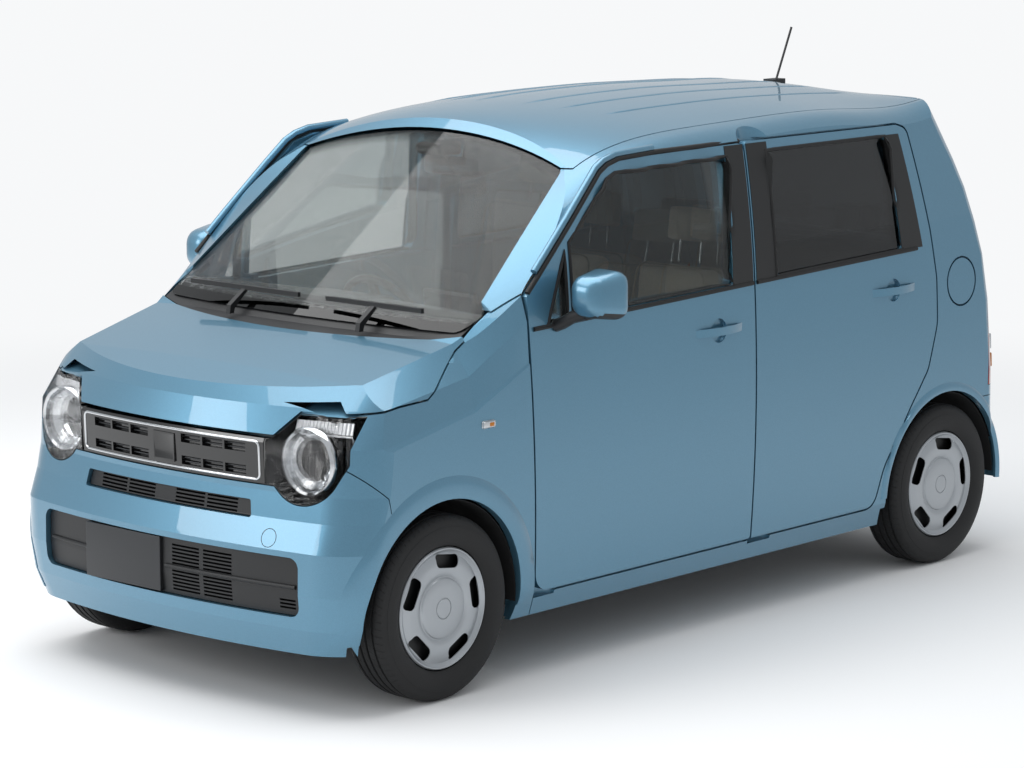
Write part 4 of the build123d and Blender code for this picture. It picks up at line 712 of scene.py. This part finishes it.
PANE_LINES = {
    "quarter": [(-0.770, 1.071), (-0.678, 1.074), (-0.678, 1.281)],
    "front": [(-0.654, 1.074), (0.126, 1.097), (0.138, 1.503), (-0.410, 1.493), (-0.452, 1.477),
              (-0.654, 1.304)],
    "rear": [(0.346, 1.103), (1.043, 1.123), (0.989, 1.507), (0.342, 1.507)],
}
for way, side in SIDES:
    for pane_name, corners in PANE_LINES.items():
        door_body = "door_rear_" + side if pane_name == "rear" else "door_front_" + side
        run = filled_in(corners, 0.04)
        points = [((skin_at(way, y, z) if abs(skin_at(way, y, z)) > 0.6 else way * 0.68) - way * 0.001, y, z)
                  for y, z in run]
        line(f"pane_rubber_{pane_name}_{side}", points, 0.0065, door_body, rubber_black,
             closed=True)
        channel = drawn(points + points[:1])
        bpy.ops.mesh.extrude_region_move(TRANSFORM_OT_translate={"value": (-way * 0.030, 0, 0)})
        bpy.ops.object.mode_set(mode="OBJECT")
        thicken(channel, 0.004, 0)
        fit_out(channel, f"pane_channel_{pane_name}_{side}", door_body, rubber_black, 40)
    laid(f"pillar_tape_front_{side}", way, (0.120, 0.132), (0.224, 0.224), belt_z(0.18) - 0.004, 1.535,
         f"door_front_{side}", tape)
    laid(f"pillar_tape_rear_{side}", way, (0.242, 0.242), (0.352, 0.348), belt_z(0.30) - 0.004, 1.535,
         f"door_rear_{side}", tape)
    laid(f"rear_garnish_{side}", way, (1.036, 0.984), (1.155, 1.066), belt_z(1.09) - 0.002, 1.510,
         f"door_rear_{side}", tape)
    film(f"mirror_patch_{side}", f"door_front_{side}", way,
         [((0, -0.676, 0), (0, -1, 0)), ((0, 0, belt_z(-0.75)), (0, 0, 1)),
          ((0, -0.770, 1.071), (0, 0.915, -0.40))], f"door_front_{side}", tape)
    for door, y0, y1 in (("front", -0.835, 0.222), ("rear", 0.242, 1.120)):
        steps = [y0 + (y1 - y0) * i / 14 for i in range(15)]
        points = [(skin_at(way, y, belt_z(y) - 0.006) + way * 0.001, y, belt_z(y) - 0.006) for y in steps]
        line(f"belt_moulding_{door}_{side}", points, 0.0072, f"door_{door}_{side}", rubber_black)
    # Door seal along the windscreen pillar, over the roof edge
    seal = [(-0.852, 1.172), (-0.80, 1.218), (-0.72, 1.289), (-0.64, 1.359), (-0.56, 1.430), (-0.480, 1.500),
            (-0.44, 1.520), (-0.382, 1.534), (-0.2, 1.5415), (0.0, 1.5425), (0.225, 1.5425)]
    points = [(max(abs(skin_at(way, y + 0.006, z - 0.012)), 0.66) * way - way * 0.004, y, z) for y, z in seal]
    line(f"pillar_seal_{side}", points, 0.0085, "body", rubber_black)
    points = [(way * (abs(x) - 0.006), y - 0.012, z + 0.013) for x, y, z in points[1:9]]
    line(f"pillar_lip_{side}", points, 0.011, "body", paint)

# Windscreen surround and its black printed edge
# The print is ceramic ink on the inside of the glass, with a shade band along the top.
screen_glass, tree, pane = new_material(
    "windscreen_glass", Transmission_Weight=1.0, IOR=1.12, Roughness=0.0, Coat_Weight=0.7, Coat_Roughness=0.0)
where = node(tree, "ShaderNodeTexCoord")
part = node(tree, "ShaderNodeSeparateXYZ")
band = node(tree, "ShaderNodeMapRange", From_Min=1.545, From_Max=1.585)
arch = node(tree, "ShaderNodeMath", operation="MULTIPLY")
crown = node(tree, "ShaderNodeMath", operation="MULTIPLY_ADD")
foot = node(tree, "ShaderNodeMapRange", From_Min=1.098, From_Max=1.090)
both_inks = node(tree, "ShaderNodeMath", operation="MAXIMUM")
shade_mix = node(tree, "ShaderNodeMix", data_type="RGBA")
solid = node(tree, "ShaderNodeMapRange", To_Min=0.45, To_Max=1.0)
link(tree, where, "Object", part, 0)
link(tree, part, "X", arch, 0)
link(tree, part, "X", arch, 1)
link(tree, arch, 0, crown, 0)
crown.inputs[1].default_value = 0.28
link(tree, part, "Z", crown, 2)
link(tree, crown, 0, band, "Value")
link(tree, part, "Z", foot, "Value")
link(tree, band, "Result", both_inks, 0)
link(tree, foot, "Result", both_inks, 1)
link(tree, both_inks, 0, shade_mix, "Factor")
shade_mix.inputs["A"].default_value = colour(186, 196, 192)
shade_mix.inputs["B"].default_value = colour(6, 7, 7)
link(tree, both_inks, 0, solid, "Value")
link(tree, shade_mix, "Result", pane, "Base Color")
link(tree, solid, "Result", pane, "Alpha")
finish_node("windscreen", screen_glass)

# Door mirrors: rounded painted shells on black feet, with silvered glass behind
# The shell is moulded and sprayed body colour, its foot and lower edge are grained black plastic.
mirror_glass = polished("mirror_glass", (200, 205, 208), 0.02)
for way, side in SIDES:
    shell = block((way * 0.848, -0.684, 1.162), (0.150, 0.150, 0.158))
    choose(shell, lambda c, n: n.y < -0.9)
    bpy.ops.transform.resize(value=(0.72, 1, 0.74), center_override=(way * 0.835, -0.684, 1.155))
    bpy.ops.object.mode_set(mode="OBJECT")
    choose(shell, lambda c, n: n.x * way > 0.8)
    bpy.ops.transform.translate(value=(0, 0.008, -0.004))
    bpy.ops.object.mode_set(mode="OBJECT")
    rounded(shell, 0.042, 6, every_edge=True)
    choose(shell, lambda c, n: n.y > 0.98)
    bpy.ops.mesh.inset(thickness=0.012)
    bpy.ops.transform.translate(value=(0, -0.008, 0))
    bpy.ops.object.mode_set(mode="OBJECT")
    fit_out(shell, f"mirror_shell_{side}", f"door_front_{side}", paint, 40)
    shell.data.materials.append(black_plastic)
    shell.data.materials.append(mirror_glass)
    for face in shell.data.polygons:
        if face.center.z < 1.106 or (face.normal.y > 0.5 and face.center.y > -0.635):
            face.material_index = 1
        if face.normal.y > 0.98 and face.center.y < -0.612 and face.area > 0.0004:
            face.material_index = 2
    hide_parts(f"mirror_{side}")
    base_x = abs(skin_at(way, -0.735, 1.05))
    foot_line = [(way * (base_x - 0.004), -0.735, 1.062), (way * (base_x + 0.02), -0.728, 1.072),
                 (way * (base_x + 0.05), -0.715, 1.092), (way * (base_x + 0.085), -0.70, 1.102)]
    foot = line(f"mirror_foot_{side}", foot_line, 0.019, f"door_front_{side}", black_plastic)
    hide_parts(f"mirror_{side}")
# Roof ribs, arch lips, arch skirts and side repeaters
# The ribs stiffen the roof pressing; the lips are rolled out of the wings, bumpers and quarters, and
# the skirts are black liner behind them.


def outer_at(way, y, z):
    """Outer face of the car's side at a place, wings and bumpers included"""
    side = "left" if way > 0 else "right"
    panels = ("front_wings", "front_bumper", "rear_bumper", f"body_side_{side}", f"door_rear_{side}")
    found = [side_at(name, way, y, z) for name in panels]
    found = [x for x in found if x is not None and x * way > 0.5]
    return max(found, key=abs) if found else None


RIB_STEPS, RIB_R = 24, 0.012
for index, (x, y0, y1) in enumerate(((0.10, -0.22, 1.20), (0.235, -0.20, 1.22), (0.37, -0.14, 1.24))):
    for hand, way in (("r", -1), ("l", 1)):
        run = []
        for i in range(RIB_STEPS + 1):
            y = y0 + (y1 - y0) * i / RIB_STEPS
            sunk = 0.0125 - 0.0035 * min(1, i / 2, (RIB_STEPS - i) / 2)
            run.append((way * x, y, top_at("roof", way * x, y) - sunk))
        line(f"roof_rib_{hand}{index}", run, RIB_R, "body", paint)


def arc(x, axle_y, radius, start, stop, count):
    """Points round an axle, in degrees from straight ahead over the top to the rear"""
    turns = [radians(start + (stop - start) * i / count) for i in range(count + 1)]
    return [(x, axle_y - radius * cos(a), TYRE_R + radius * sin(a)) for a in turns]


# Lips: where they start and stop round the axle, and how far they reach up the panel
LIP_R = 0.3275
for end, start, stop, reach in (("front", -10, 188, 0.398), ("rear", 0, 184, 0.360)):
    axle_y = AXLE_Y[end]
    # Radius, and how far the lip stands out of the panel there
    rows = [(LIP_R, -0.004), (0.3285, 0.0045), (0.338, 0.006), ((0.338 + reach) / 2, 0.0042),
            (reach - 0.004, 0.002), (reach, -0.0015)]
    for way, side in SIDES:
        lip = drawn(arc(0, axle_y, LIP_R, start, stop, 48))
        for (r0, _), (r1, _) in zip(rows, rows[1:]):
            bpy.ops.mesh.extrude_region_move()
            bpy.ops.transform.resize(value=(1, r1 / r0, r1 / r0), center_override=(0, axle_y, TYRE_R))
        bpy.ops.object.mode_set(mode="OBJECT")
        last = way * 0.72
        for dot in lip.data.vertices:
            far = hypot(dot.co.y - axle_y, dot.co.z - TYRE_R)
            out = min(rows, key=lambda row: abs(row[0] - far))[1]
            near = max(0.3295, far) / far
            face = outer_at(way, axle_y + (dot.co.y - axle_y) * near, TYRE_R + (dot.co.z - TYRE_R) * near)
            last = face if face is not None else last
            dot.co.x = last + way * out
        choose(lip, lambda c, n: True)
        bpy.ops.mesh.normals_make_consistent(inside=False)
        bpy.ops.object.mode_set(mode="OBJECT")
        thicken(lip, 0.003, -way)
        fit_out(lip, f"arch_lip_{end}_{side}", "body", paint, 60)

SKIRT_R, SKIRT_X, SKIRT_DEEP = 0.322, 0.712, 0.20
for end, start, stop in (("front", 2, 186), ("rear", 2, 180)):
    for way, side in SIDES:
        skirt = drawn(arc(way * SKIRT_X, AXLE_Y[end], SKIRT_R, start, stop, 40))
        bpy.ops.mesh.extrude_region_move(TRANSFORM_OT_translate={"value": (-way * SKIRT_DEEP, 0, 0)})
        bpy.ops.object.mode_set(mode="OBJECT")
        thicken(skirt, 0.002, 0)
        fit_out(skirt, f"arch_skirt_{end}_{side}", "body", liner_plastic, 60)

REPEATER_Y, REPEATER_Z = -1.044, 0.806
for way, side in SIDES:
    skin_x = outer_at(way, REPEATER_Y, REPEATER_Z)
    repeater = rounded(block((skin_x, REPEATER_Y, REPEATER_Z), (0.016, 0.056, 0.024)), 0.007, 4)
    fit_out(repeater, f"side_repeater_{side}", "body", ribbed)
    bulb = block((skin_x + way * 0.0065, REPEATER_Y + 0.008, REPEATER_Z), (0.006, 0.020, 0.012))
    rounded(bulb, 0.0025, 2)
    fit_out(bulb, f"side_repeater_bulb_{side}", "body", amber)

# Cabin: seats in greige cloth, dark dashboard with its display, mirror and camera box on the screen
# The seats are foam on steel frames under a woven cover, so each pad is inflated as cloth from a
# slightly smaller block, then piped with the cover's own seam.
weave, given, put = new_group(
    "woven_cover",
    [("Colour", "Color", (1, 1, 1, 1)), ("Thread", "Float", 420.0), ("Shade", "Float", 0.25)],
    [("Colour", "Color"), ("Normal", "Vector")],
)
place = node(weave, "ShaderNodeTexCoord")
warp = node(weave, "ShaderNodeTexWave", bands_direction="X", Distortion=0.4)
weft = node(weave, "ShaderNodeTexWave", bands_direction="DIAGONAL", Distortion=0.4)
melange = node(weave, "ShaderNodeTexNoise", Scale=160.0, Detail=3.0)
cross = node(weave, "ShaderNodeMath", operation="MAXIMUM")
tone = node(weave, "ShaderNodeMapRange", From_Min=0.35, From_Max=0.65)
low_tone = node(weave, "ShaderNodeMath", operation="SUBTRACT")
low_tone.inputs[0].default_value = 1.0
dye = node(weave, "ShaderNodeMix", data_type="RGBA", blend_type="MULTIPLY")
dye.inputs["Factor"].default_value = 1.0
thread = node(weave, "ShaderNodeBump", Strength=0.8, Distance=0.0006)
for source in (warp, weft, melange):
    link(weave, place, "Object", source, "Vector")
for source in (warp, weft):
    link(weave, given, "Thread", source, "Scale")
link(weave, warp, "Fac", cross, 0)
link(weave, weft, "Fac", cross, 1)
link(weave, cross, 0, thread, "Height")
link(weave, melange, "Fac", tone, "Value")
link(weave, given, "Shade", low_tone, 1)
link(weave, low_tone, 0, tone, "To Min")
link(weave, given, "Colour", dye, "A")
link(weave, tone, "Result", dye, "B")
link(weave, dye, "Result", put, "Colour")
link(weave, thread, "Normal", put, "Normal")


def cloth_finish(name, chart, shade):
    made, tree, shader = new_material(name, Roughness=0.9, Sheen_Weight=0.3)
    cover = node(tree, "ShaderNodeGroup", node_tree=weave)
    cover.inputs["Colour"].default_value = colour(*chart)
    cover.inputs["Shade"].default_value = shade
    link(tree, cover, "Colour", shader, "Base Color")
    link(tree, cover, "Normal", shader, "Normal")
    return made


greige = cloth_finish("greige_cloth", (168, 158, 144), 0.22)
brown_seam = cloth_finish("seam_brown", (92, 82, 72), 0.2)
SWELL, VOXEL, LAST_FRAME = 0.022, 0.010, 20


def pad(size, place, lean):
    """Foam pad: a block made smaller by the swell, inflated as cloth and capped"""
    scale = [length - 2 * SWELL for length in size]
    foam = rounded(block((0, 0, 0), scale), min(scale) * 0.3, 3)
    foam.data.remesh_voxel_size = VOXEL
    bpy.ops.object.voxel_remesh()
    before = [dot.co.copy() for dot in foam.data.vertices]
    bpy.ops.object.modifier_add(type="CLOTH")
    cloth = foam.modifiers[-1]
    cloth.settings.use_pressure = True
    cloth.settings.uniform_pressure_force = 4
    cloth.settings.effector_weights.gravity = 0
    cloth.point_cache.frame_start, cloth.point_cache.frame_end = 1, LAST_FRAME
    for moment in range(1, LAST_FRAME + 1):
        bpy.context.scene.frame_set(moment)
    take(foam)
    bpy.ops.object.modifier_apply(modifier=cloth.name)
    bpy.context.scene.frame_set(1)
    for dot, rest in zip(foam.data.vertices, before):
        moved = dot.co - rest
        if moved.length > SWELL:
            dot.co = rest + moved * (SWELL / moved.length)
    take(foam)
    bpy.ops.object.modifier_add(type="SUBSURF")
    foam.modifiers[-1].levels = foam.modifiers[-1].render_levels = 1
    bpy.ops.object.modifier_apply(modifier=foam.modifiers[-1].name)
    foam.rotation_euler = (radians(lean), 0, 0)
    foam.location = place
    return settle(foam)


def twin_of(piece, shift):
    """Copy of a pad with its own mesh, moved to the car's right"""
    twin = bpy.data.objects.new("twin", piece.data.copy())
    bpy.context.scene.collection.objects.link(twin)
    take(twin)
    twin.location = (-shift, 0, 0)
    return settle(twin)


def upholster(piece, name, stands_for):
    fit_out(piece, name, "body", greige, 60)
    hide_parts(stands_for)


def seam_on(name, size, place, lean, inset=0.05, sunk=0.004):
    """Piped seam round a pad's top, or its front if it stands"""
    w, d, h = (length / 2 for length in size)
    turn = Matrix.Rotation(radians(lean), 3, "X")
    if h < d:
        ring = [(x, y, h - sunk) for x, y in rounded_ring(w - inset, -d + inset, d - inset, 0.04)]
    else:
        ring = [(x, -d + sunk, z) for x, z in rounded_ring(w - inset, -h + inset, h - inset, 0.04)]
    points = [turn @ Vector(point) + Vector(place) for point in ring]
    line(name, points, 0.0035, "body", brown_seam, closed=True)


SEAT_X, REAR_REST_X = 0.29, 0.24
# Each pad's size, its place along the car and up, and its lean in degrees
for part, size, y, z, lean in (
    ("cushion", (0.49, 0.47, 0.15), 0.085, 0.505, 4),
    ("back", (0.47, 0.125, 0.58), 0.395, 0.845, -13),
    ("headrest", (0.235, 0.085, 0.155), 0.455, 1.226, -8),
):
    first = pad(size, (SEAT_X, y, z), lean)
    for x, side, piece in ((SEAT_X, "left", first), (-SEAT_X, "right", twin_of(first, 2 * SEAT_X))):
        upholster(piece, f"front_{part}_{side}", "front_seats")
        if part != "headrest":
            seam_on(f"front_{part}_seam_{side}", size, (x, y, z), lean)
for part, size, y, z, lean in (
    ("cushion", (0.94, 0.46, 0.14), 1.075, 0.560, 4),
    ("back", (0.94, 0.115, 0.52), 1.385, 0.835, -13),
):
    upholster(pad(size, (0, y, z), lean), f"rear_{part}", "rear_seat")
    seam_on(f"rear_{part}_seam", size, (0, y, z), lean)
rest = pad((0.23, 0.085, 0.14), (REAR_REST_X, 1.441, 1.160), -8)
for side, piece in (("left", rest), ("right", twin_of(rest, 2 * REAR_REST_X))):
    upholster(piece, f"rear_headrest_{side}", "rear_seat")

# Seat bases and headrest posts
# Each front seat stands on a black moulded base; the bench has one low base. The posts are plated rod.
post_steel = polished("post_steel", (150, 152, 154), 0.25)
for way, side in reversed(SIDES):
    x = way * SEAT_X
    base = block((x, 0.10, 0.335), (0.40, 0.42, 0.19))
    choose(base, lambda c, n: n.z < -0.9)
    bpy.ops.transform.resize(value=(0.9, 0.84, 1))
    bpy.ops.object.mode_set(mode="OBJECT")
    rounded(base, 0.02, 3)
    fit_out(base, f"seat_base_{side}", "body", dash_skin)
    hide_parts("front_seats")
    for post, across in (("a", -0.045), ("b", 0.045)):
        line(f"headrest_post_{side[0]}{post}", [(x + across, 0.437, 1.10), (x + across, 0.452, 1.20)], 0.005,
             "body", post_steel)
base = rounded(block((0, 1.10, 0.455), (0.88, 0.40, 0.09)), 0.02, 2)
fit_out(base, "rear_seat_base", "body", dash_skin)
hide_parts("rear_seat")

# Dashboard fittings, room mirror and the camera box behind the windscreen
# The box and mirror are black mouldings, the display and vents gloss black, the wheel's pad soft skin.


def moulded_box(name, place, size, round_r, body, finish, taper=1.0, tilt=0.0):
    """Moulded box with round edges, narrower towards the front where taper is under 1"""
    box = block((0, 0, 0), size)
    choose(box, lambda c, n: n.y < -0.9)
    bpy.ops.transform.resize(value=(taper, 1, taper))
    bpy.ops.object.mode_set(mode="OBJECT")
    rounded(box, round_r, 4)
    box.rotation_euler = (radians(tilt), 0, 0)
    box.location = place
    return fit_out(settle(box), name, body, finish)


moulded_box("camera_box", (0.0, -0.475, 1.530), (0.13, 0.10, 0.045), 0.014, "body", dash_skin, 0.8)
moulded_box("room_mirror", (0.0, -0.415, 1.468), (0.235, 0.026, 0.062), 0.011, "body", dash_skin, 0.9)
line("room_mirror_stalk", [(0, -0.46, 1.515), (0, -0.43, 1.495), (0, -0.415, 1.478)], 0.007, "body",
     dash_skin)
moulded_box("dash_display", (0.02, -0.43, 1.005), (0.235, 0.022, 0.135), 0.008, "body", gloss_black,
            0.96, 12)
for x in (-0.57, -0.16, 0.20, 0.56):
    moulded_box(f"dash_vent_{int(x * 100) + 60}", (x, -0.455, 0.905), (0.09, 0.020, 0.045), 0.006, "body",
                gloss_black)
moulded_box("wheel_pad", (-0.34, -0.344, 0.927), (0.135, 0.036, 0.12), 0.016, "steering_wheel", dash_skin,
            0.85, -65)

# Tail: lamp lenses, blank plate in its recess, tailgate handle, rear wiper and high stop lamp
# The lamps are one red moulding with a clear and an amber window; the plate is blank and bolted to
# the tailgate.


def back_at(name, x, z):
    """Rear face of a CAD piece at a width and height"""
    point = met(name, (x, 3, z), (0, -1, 0))
    return point.y if point else None


PLATE_SIZE, PLATE_ROUND = (0.330, 0.006, 0.165), 0.0025
plate_grey = grained("blank_plate", (206, 208, 208), 0.45, 90.0, 0.00004, mottle=0.04)
gate_y = back_at("tailgate", 0, 0.80)
moulded_box("plate_recess", (0, gate_y, 0.80), (0.40, 0.012, 0.215), 0.005, "tailgate", black_plastic,
            1.0, 2)
moulded_box("rear_plate", (0, gate_y + 0.008, 0.795), PLATE_SIZE, PLATE_ROUND, "tailgate", plate_grey,
            1.0, 2)
moulded_box("tailgate_grip", (0, back_at("tailgate", 0, 0.955) + 0.003, 0.955), (0.44, 0.020, 0.050), 0.008,
            "tailgate", paint, 0.95, 6)
moulded_box("high_stop_lamp", (0, back_at("tailgate", 0, 1.565) - 0.006, 1.562), (0.26, 0.020, 0.018), 0.005,
            "tailgate", lamp_red, 0.95, 28)
WIPER_Z = 1.155
wiper_foot = back_at("tailgate_glass", 0, 1.10)
blade = [(x, (back_at("tailgate_glass", x, WIPER_Z) or wiper_foot) + 0.010, WIPER_Z)
         for x in (-0.05, 0.08, 0.2, 0.30)]
line("rear_wiper_blade", blade, 0.007, "tailgate", rubber_black)
arm = [(0, wiper_foot + 0.006, 1.082), (0.01, wiper_foot + 0.014, 1.10), (0.12, wiper_foot + 0.016, 1.15)]
line("rear_wiper_arm", arm, 0.008, "tailgate", black_plastic)
REFLECTOR_X, REFLECTOR_Z = 0.60, 0.40
for way, side in SIDES:
    for height, tall, finish in ((0.742, 0.055, lamp_clear), (0.675, 0.05, amber)):
        face = back_at("tail_lamps", way * 0.665, height)
        moulded_box(f"tail_lamp_window_{side}_{int(height * 1000)}", (way * 0.664, face - 0.002, height),
                    (0.072, 0.012, tall), 0.004, "body", finish, 1.0, 4)
    face = back_at("rear_bumper", way * REFLECTOR_X, REFLECTOR_Z)
    moulded_box(f"bumper_reflector_{side}", (way * REFLECTOR_X, face - 0.002, REFLECTOR_Z),
                (0.11, 0.012, 0.030), 0.004, "body", lamp_red)

# Front bumper: blank plate, tow cover and the bars across the mouth's side panels
# The plate and bars are grained black mouldings on the insert; the cover is a disc cut in the bumper.
PLATE_X, PLATE_Z, BAR_Z = -0.151, 0.386, 0.384
dark_plate = grained("dark_plate", (40, 42, 45), 0.4, 90.0, 0.00004, mottle=0.05)
plate_y = front_at("lower_grilles", PLATE_X, PLATE_Z)
moulded_box("front_plate", (PLATE_X, plate_y + 0.001, PLATE_Z), PLATE_SIZE, PLATE_ROUND, "body", dark_plate)
for hand, x0, x1 in (("l", 0.03, 0.53), ("r", -0.53, -0.33)):
    across = [x0 + (x1 - x0) * i / 8 for i in range(9)]
    run = [(x, (front_at("lower_grilles", x, BAR_Z) or plate_y) - 0.001, BAR_Z) for x in across]
    line(f"mouth_bar_{hand}", run, 0.0065, "body", black_plastic)
TOW_X, TOW_Z, TOW_R, TOW_POINTS = 0.44, 0.52, 0.026, 24
tow_y = front_at("front_bumper", TOW_X, TOW_Z)
gap = []
for step in range(TOW_POINTS):
    a = 2 * pi * step / TOW_POINTS
    x, z = TOW_X + TOW_R * cos(a), TOW_Z + TOW_R * sin(a)
    gap.append((x, (front_at("front_bumper", x, z) or tow_y) + 0.0005, z))
line("tow_cover_gap", gap, 0.0012, "body", rubber_black, closed=True)

# Studio: pale floor, one broad soft box overhead, one from the front left, and a white surround
# The camera stands where the photograph was taken from.
bpy.ops.object.select_all(action="DESELECT")
bpy.ops.mesh.primitive_plane_add(size=160, location=(0, 0, 0))
floor = bpy.context.object
floor.name = "studio_floor"
pale, tree, paper = new_material(
    "studio_paper", Base_Color=(0.9, 0.9, 0.9, 1), Roughness=0.9, Specular_IOR_Level=0.1)
where = node(tree, "ShaderNodeTexCoord")
far = node(tree, "ShaderNodeVectorMath", operation="LENGTH")
fade = node(tree, "ShaderNodeMapRange", From_Min=2.6, From_Max=6.5, interpolation_type="SMOOTHSTEP")
seen = node(tree, "ShaderNodeLightPath")
both = node(tree, "ShaderNodeMath", operation="MULTIPLY")
glow = node(tree, "ShaderNodeEmission", Color=(0.93, 0.94, 0.95, 1))
blend = node(tree, "ShaderNodeMixShader")
link(tree, where, "Object", far, 0)
link(tree, far, "Value", fade, "Value")
link(tree, fade, "Result", both, 0)
link(tree, seen, "Is Camera Ray", both, 1)
link(tree, both, 0, blend, 0)
link(tree, paper, 0, blend, 1)
link(tree, glow, 0, blend, 2)
link(tree, blend, 0, tree.nodes["Material Output"], "Surface")
floor.data.materials.append(pale)

surround = bpy.data.worlds.new("studio_surround")
bpy.context.scene.world = surround
surround.use_nodes = True
sky = surround.node_tree
backdrop = sky.nodes["Background"]
backdrop.inputs["Color"].default_value = (0.82, 0.85, 0.88, 1)
backdrop.inputs["Strength"].default_value = 0.72

for label, place, size, power, target in (
    ("top_box", (-0.6, -0.8, 5.2), (4.6, 6.5), 260, (0, 0, 0.8)),
    ("front_box", (-3.2, -7.5, 3.4), (4.0, 3.0), 170, (0, -1.0, 0.6)),
):
    lamp_data = bpy.data.lights.new(label, "AREA")
    lamp_data.shape = "RECTANGLE"
    lamp_data.size, lamp_data.size_y = size
    lamp_data.energy = power
    lamp = bpy.data.objects.new(label, lamp_data)
    bpy.context.scene.collection.objects.link(lamp)
    lamp.location = place
    lamp.rotation_euler = (Vector(target) - Vector(place)).to_track_quat("-Z", "Y").to_euler()

camera_data = bpy.data.cameras.new("photo_camera")
camera_data.lens = 120.2
camera_data.sensor_width = 36.0
camera = bpy.data.objects.new("photo_camera", camera_data)
camera.location = (7.404, -8.339, 2.592)
camera.rotation_euler = (radians(80.43), 0, radians(42.02))
bpy.context.scene.collection.objects.link(camera)
bpy.context.scene.camera = camera
bpy.context.scene.view_settings.view_transform = "Standard"
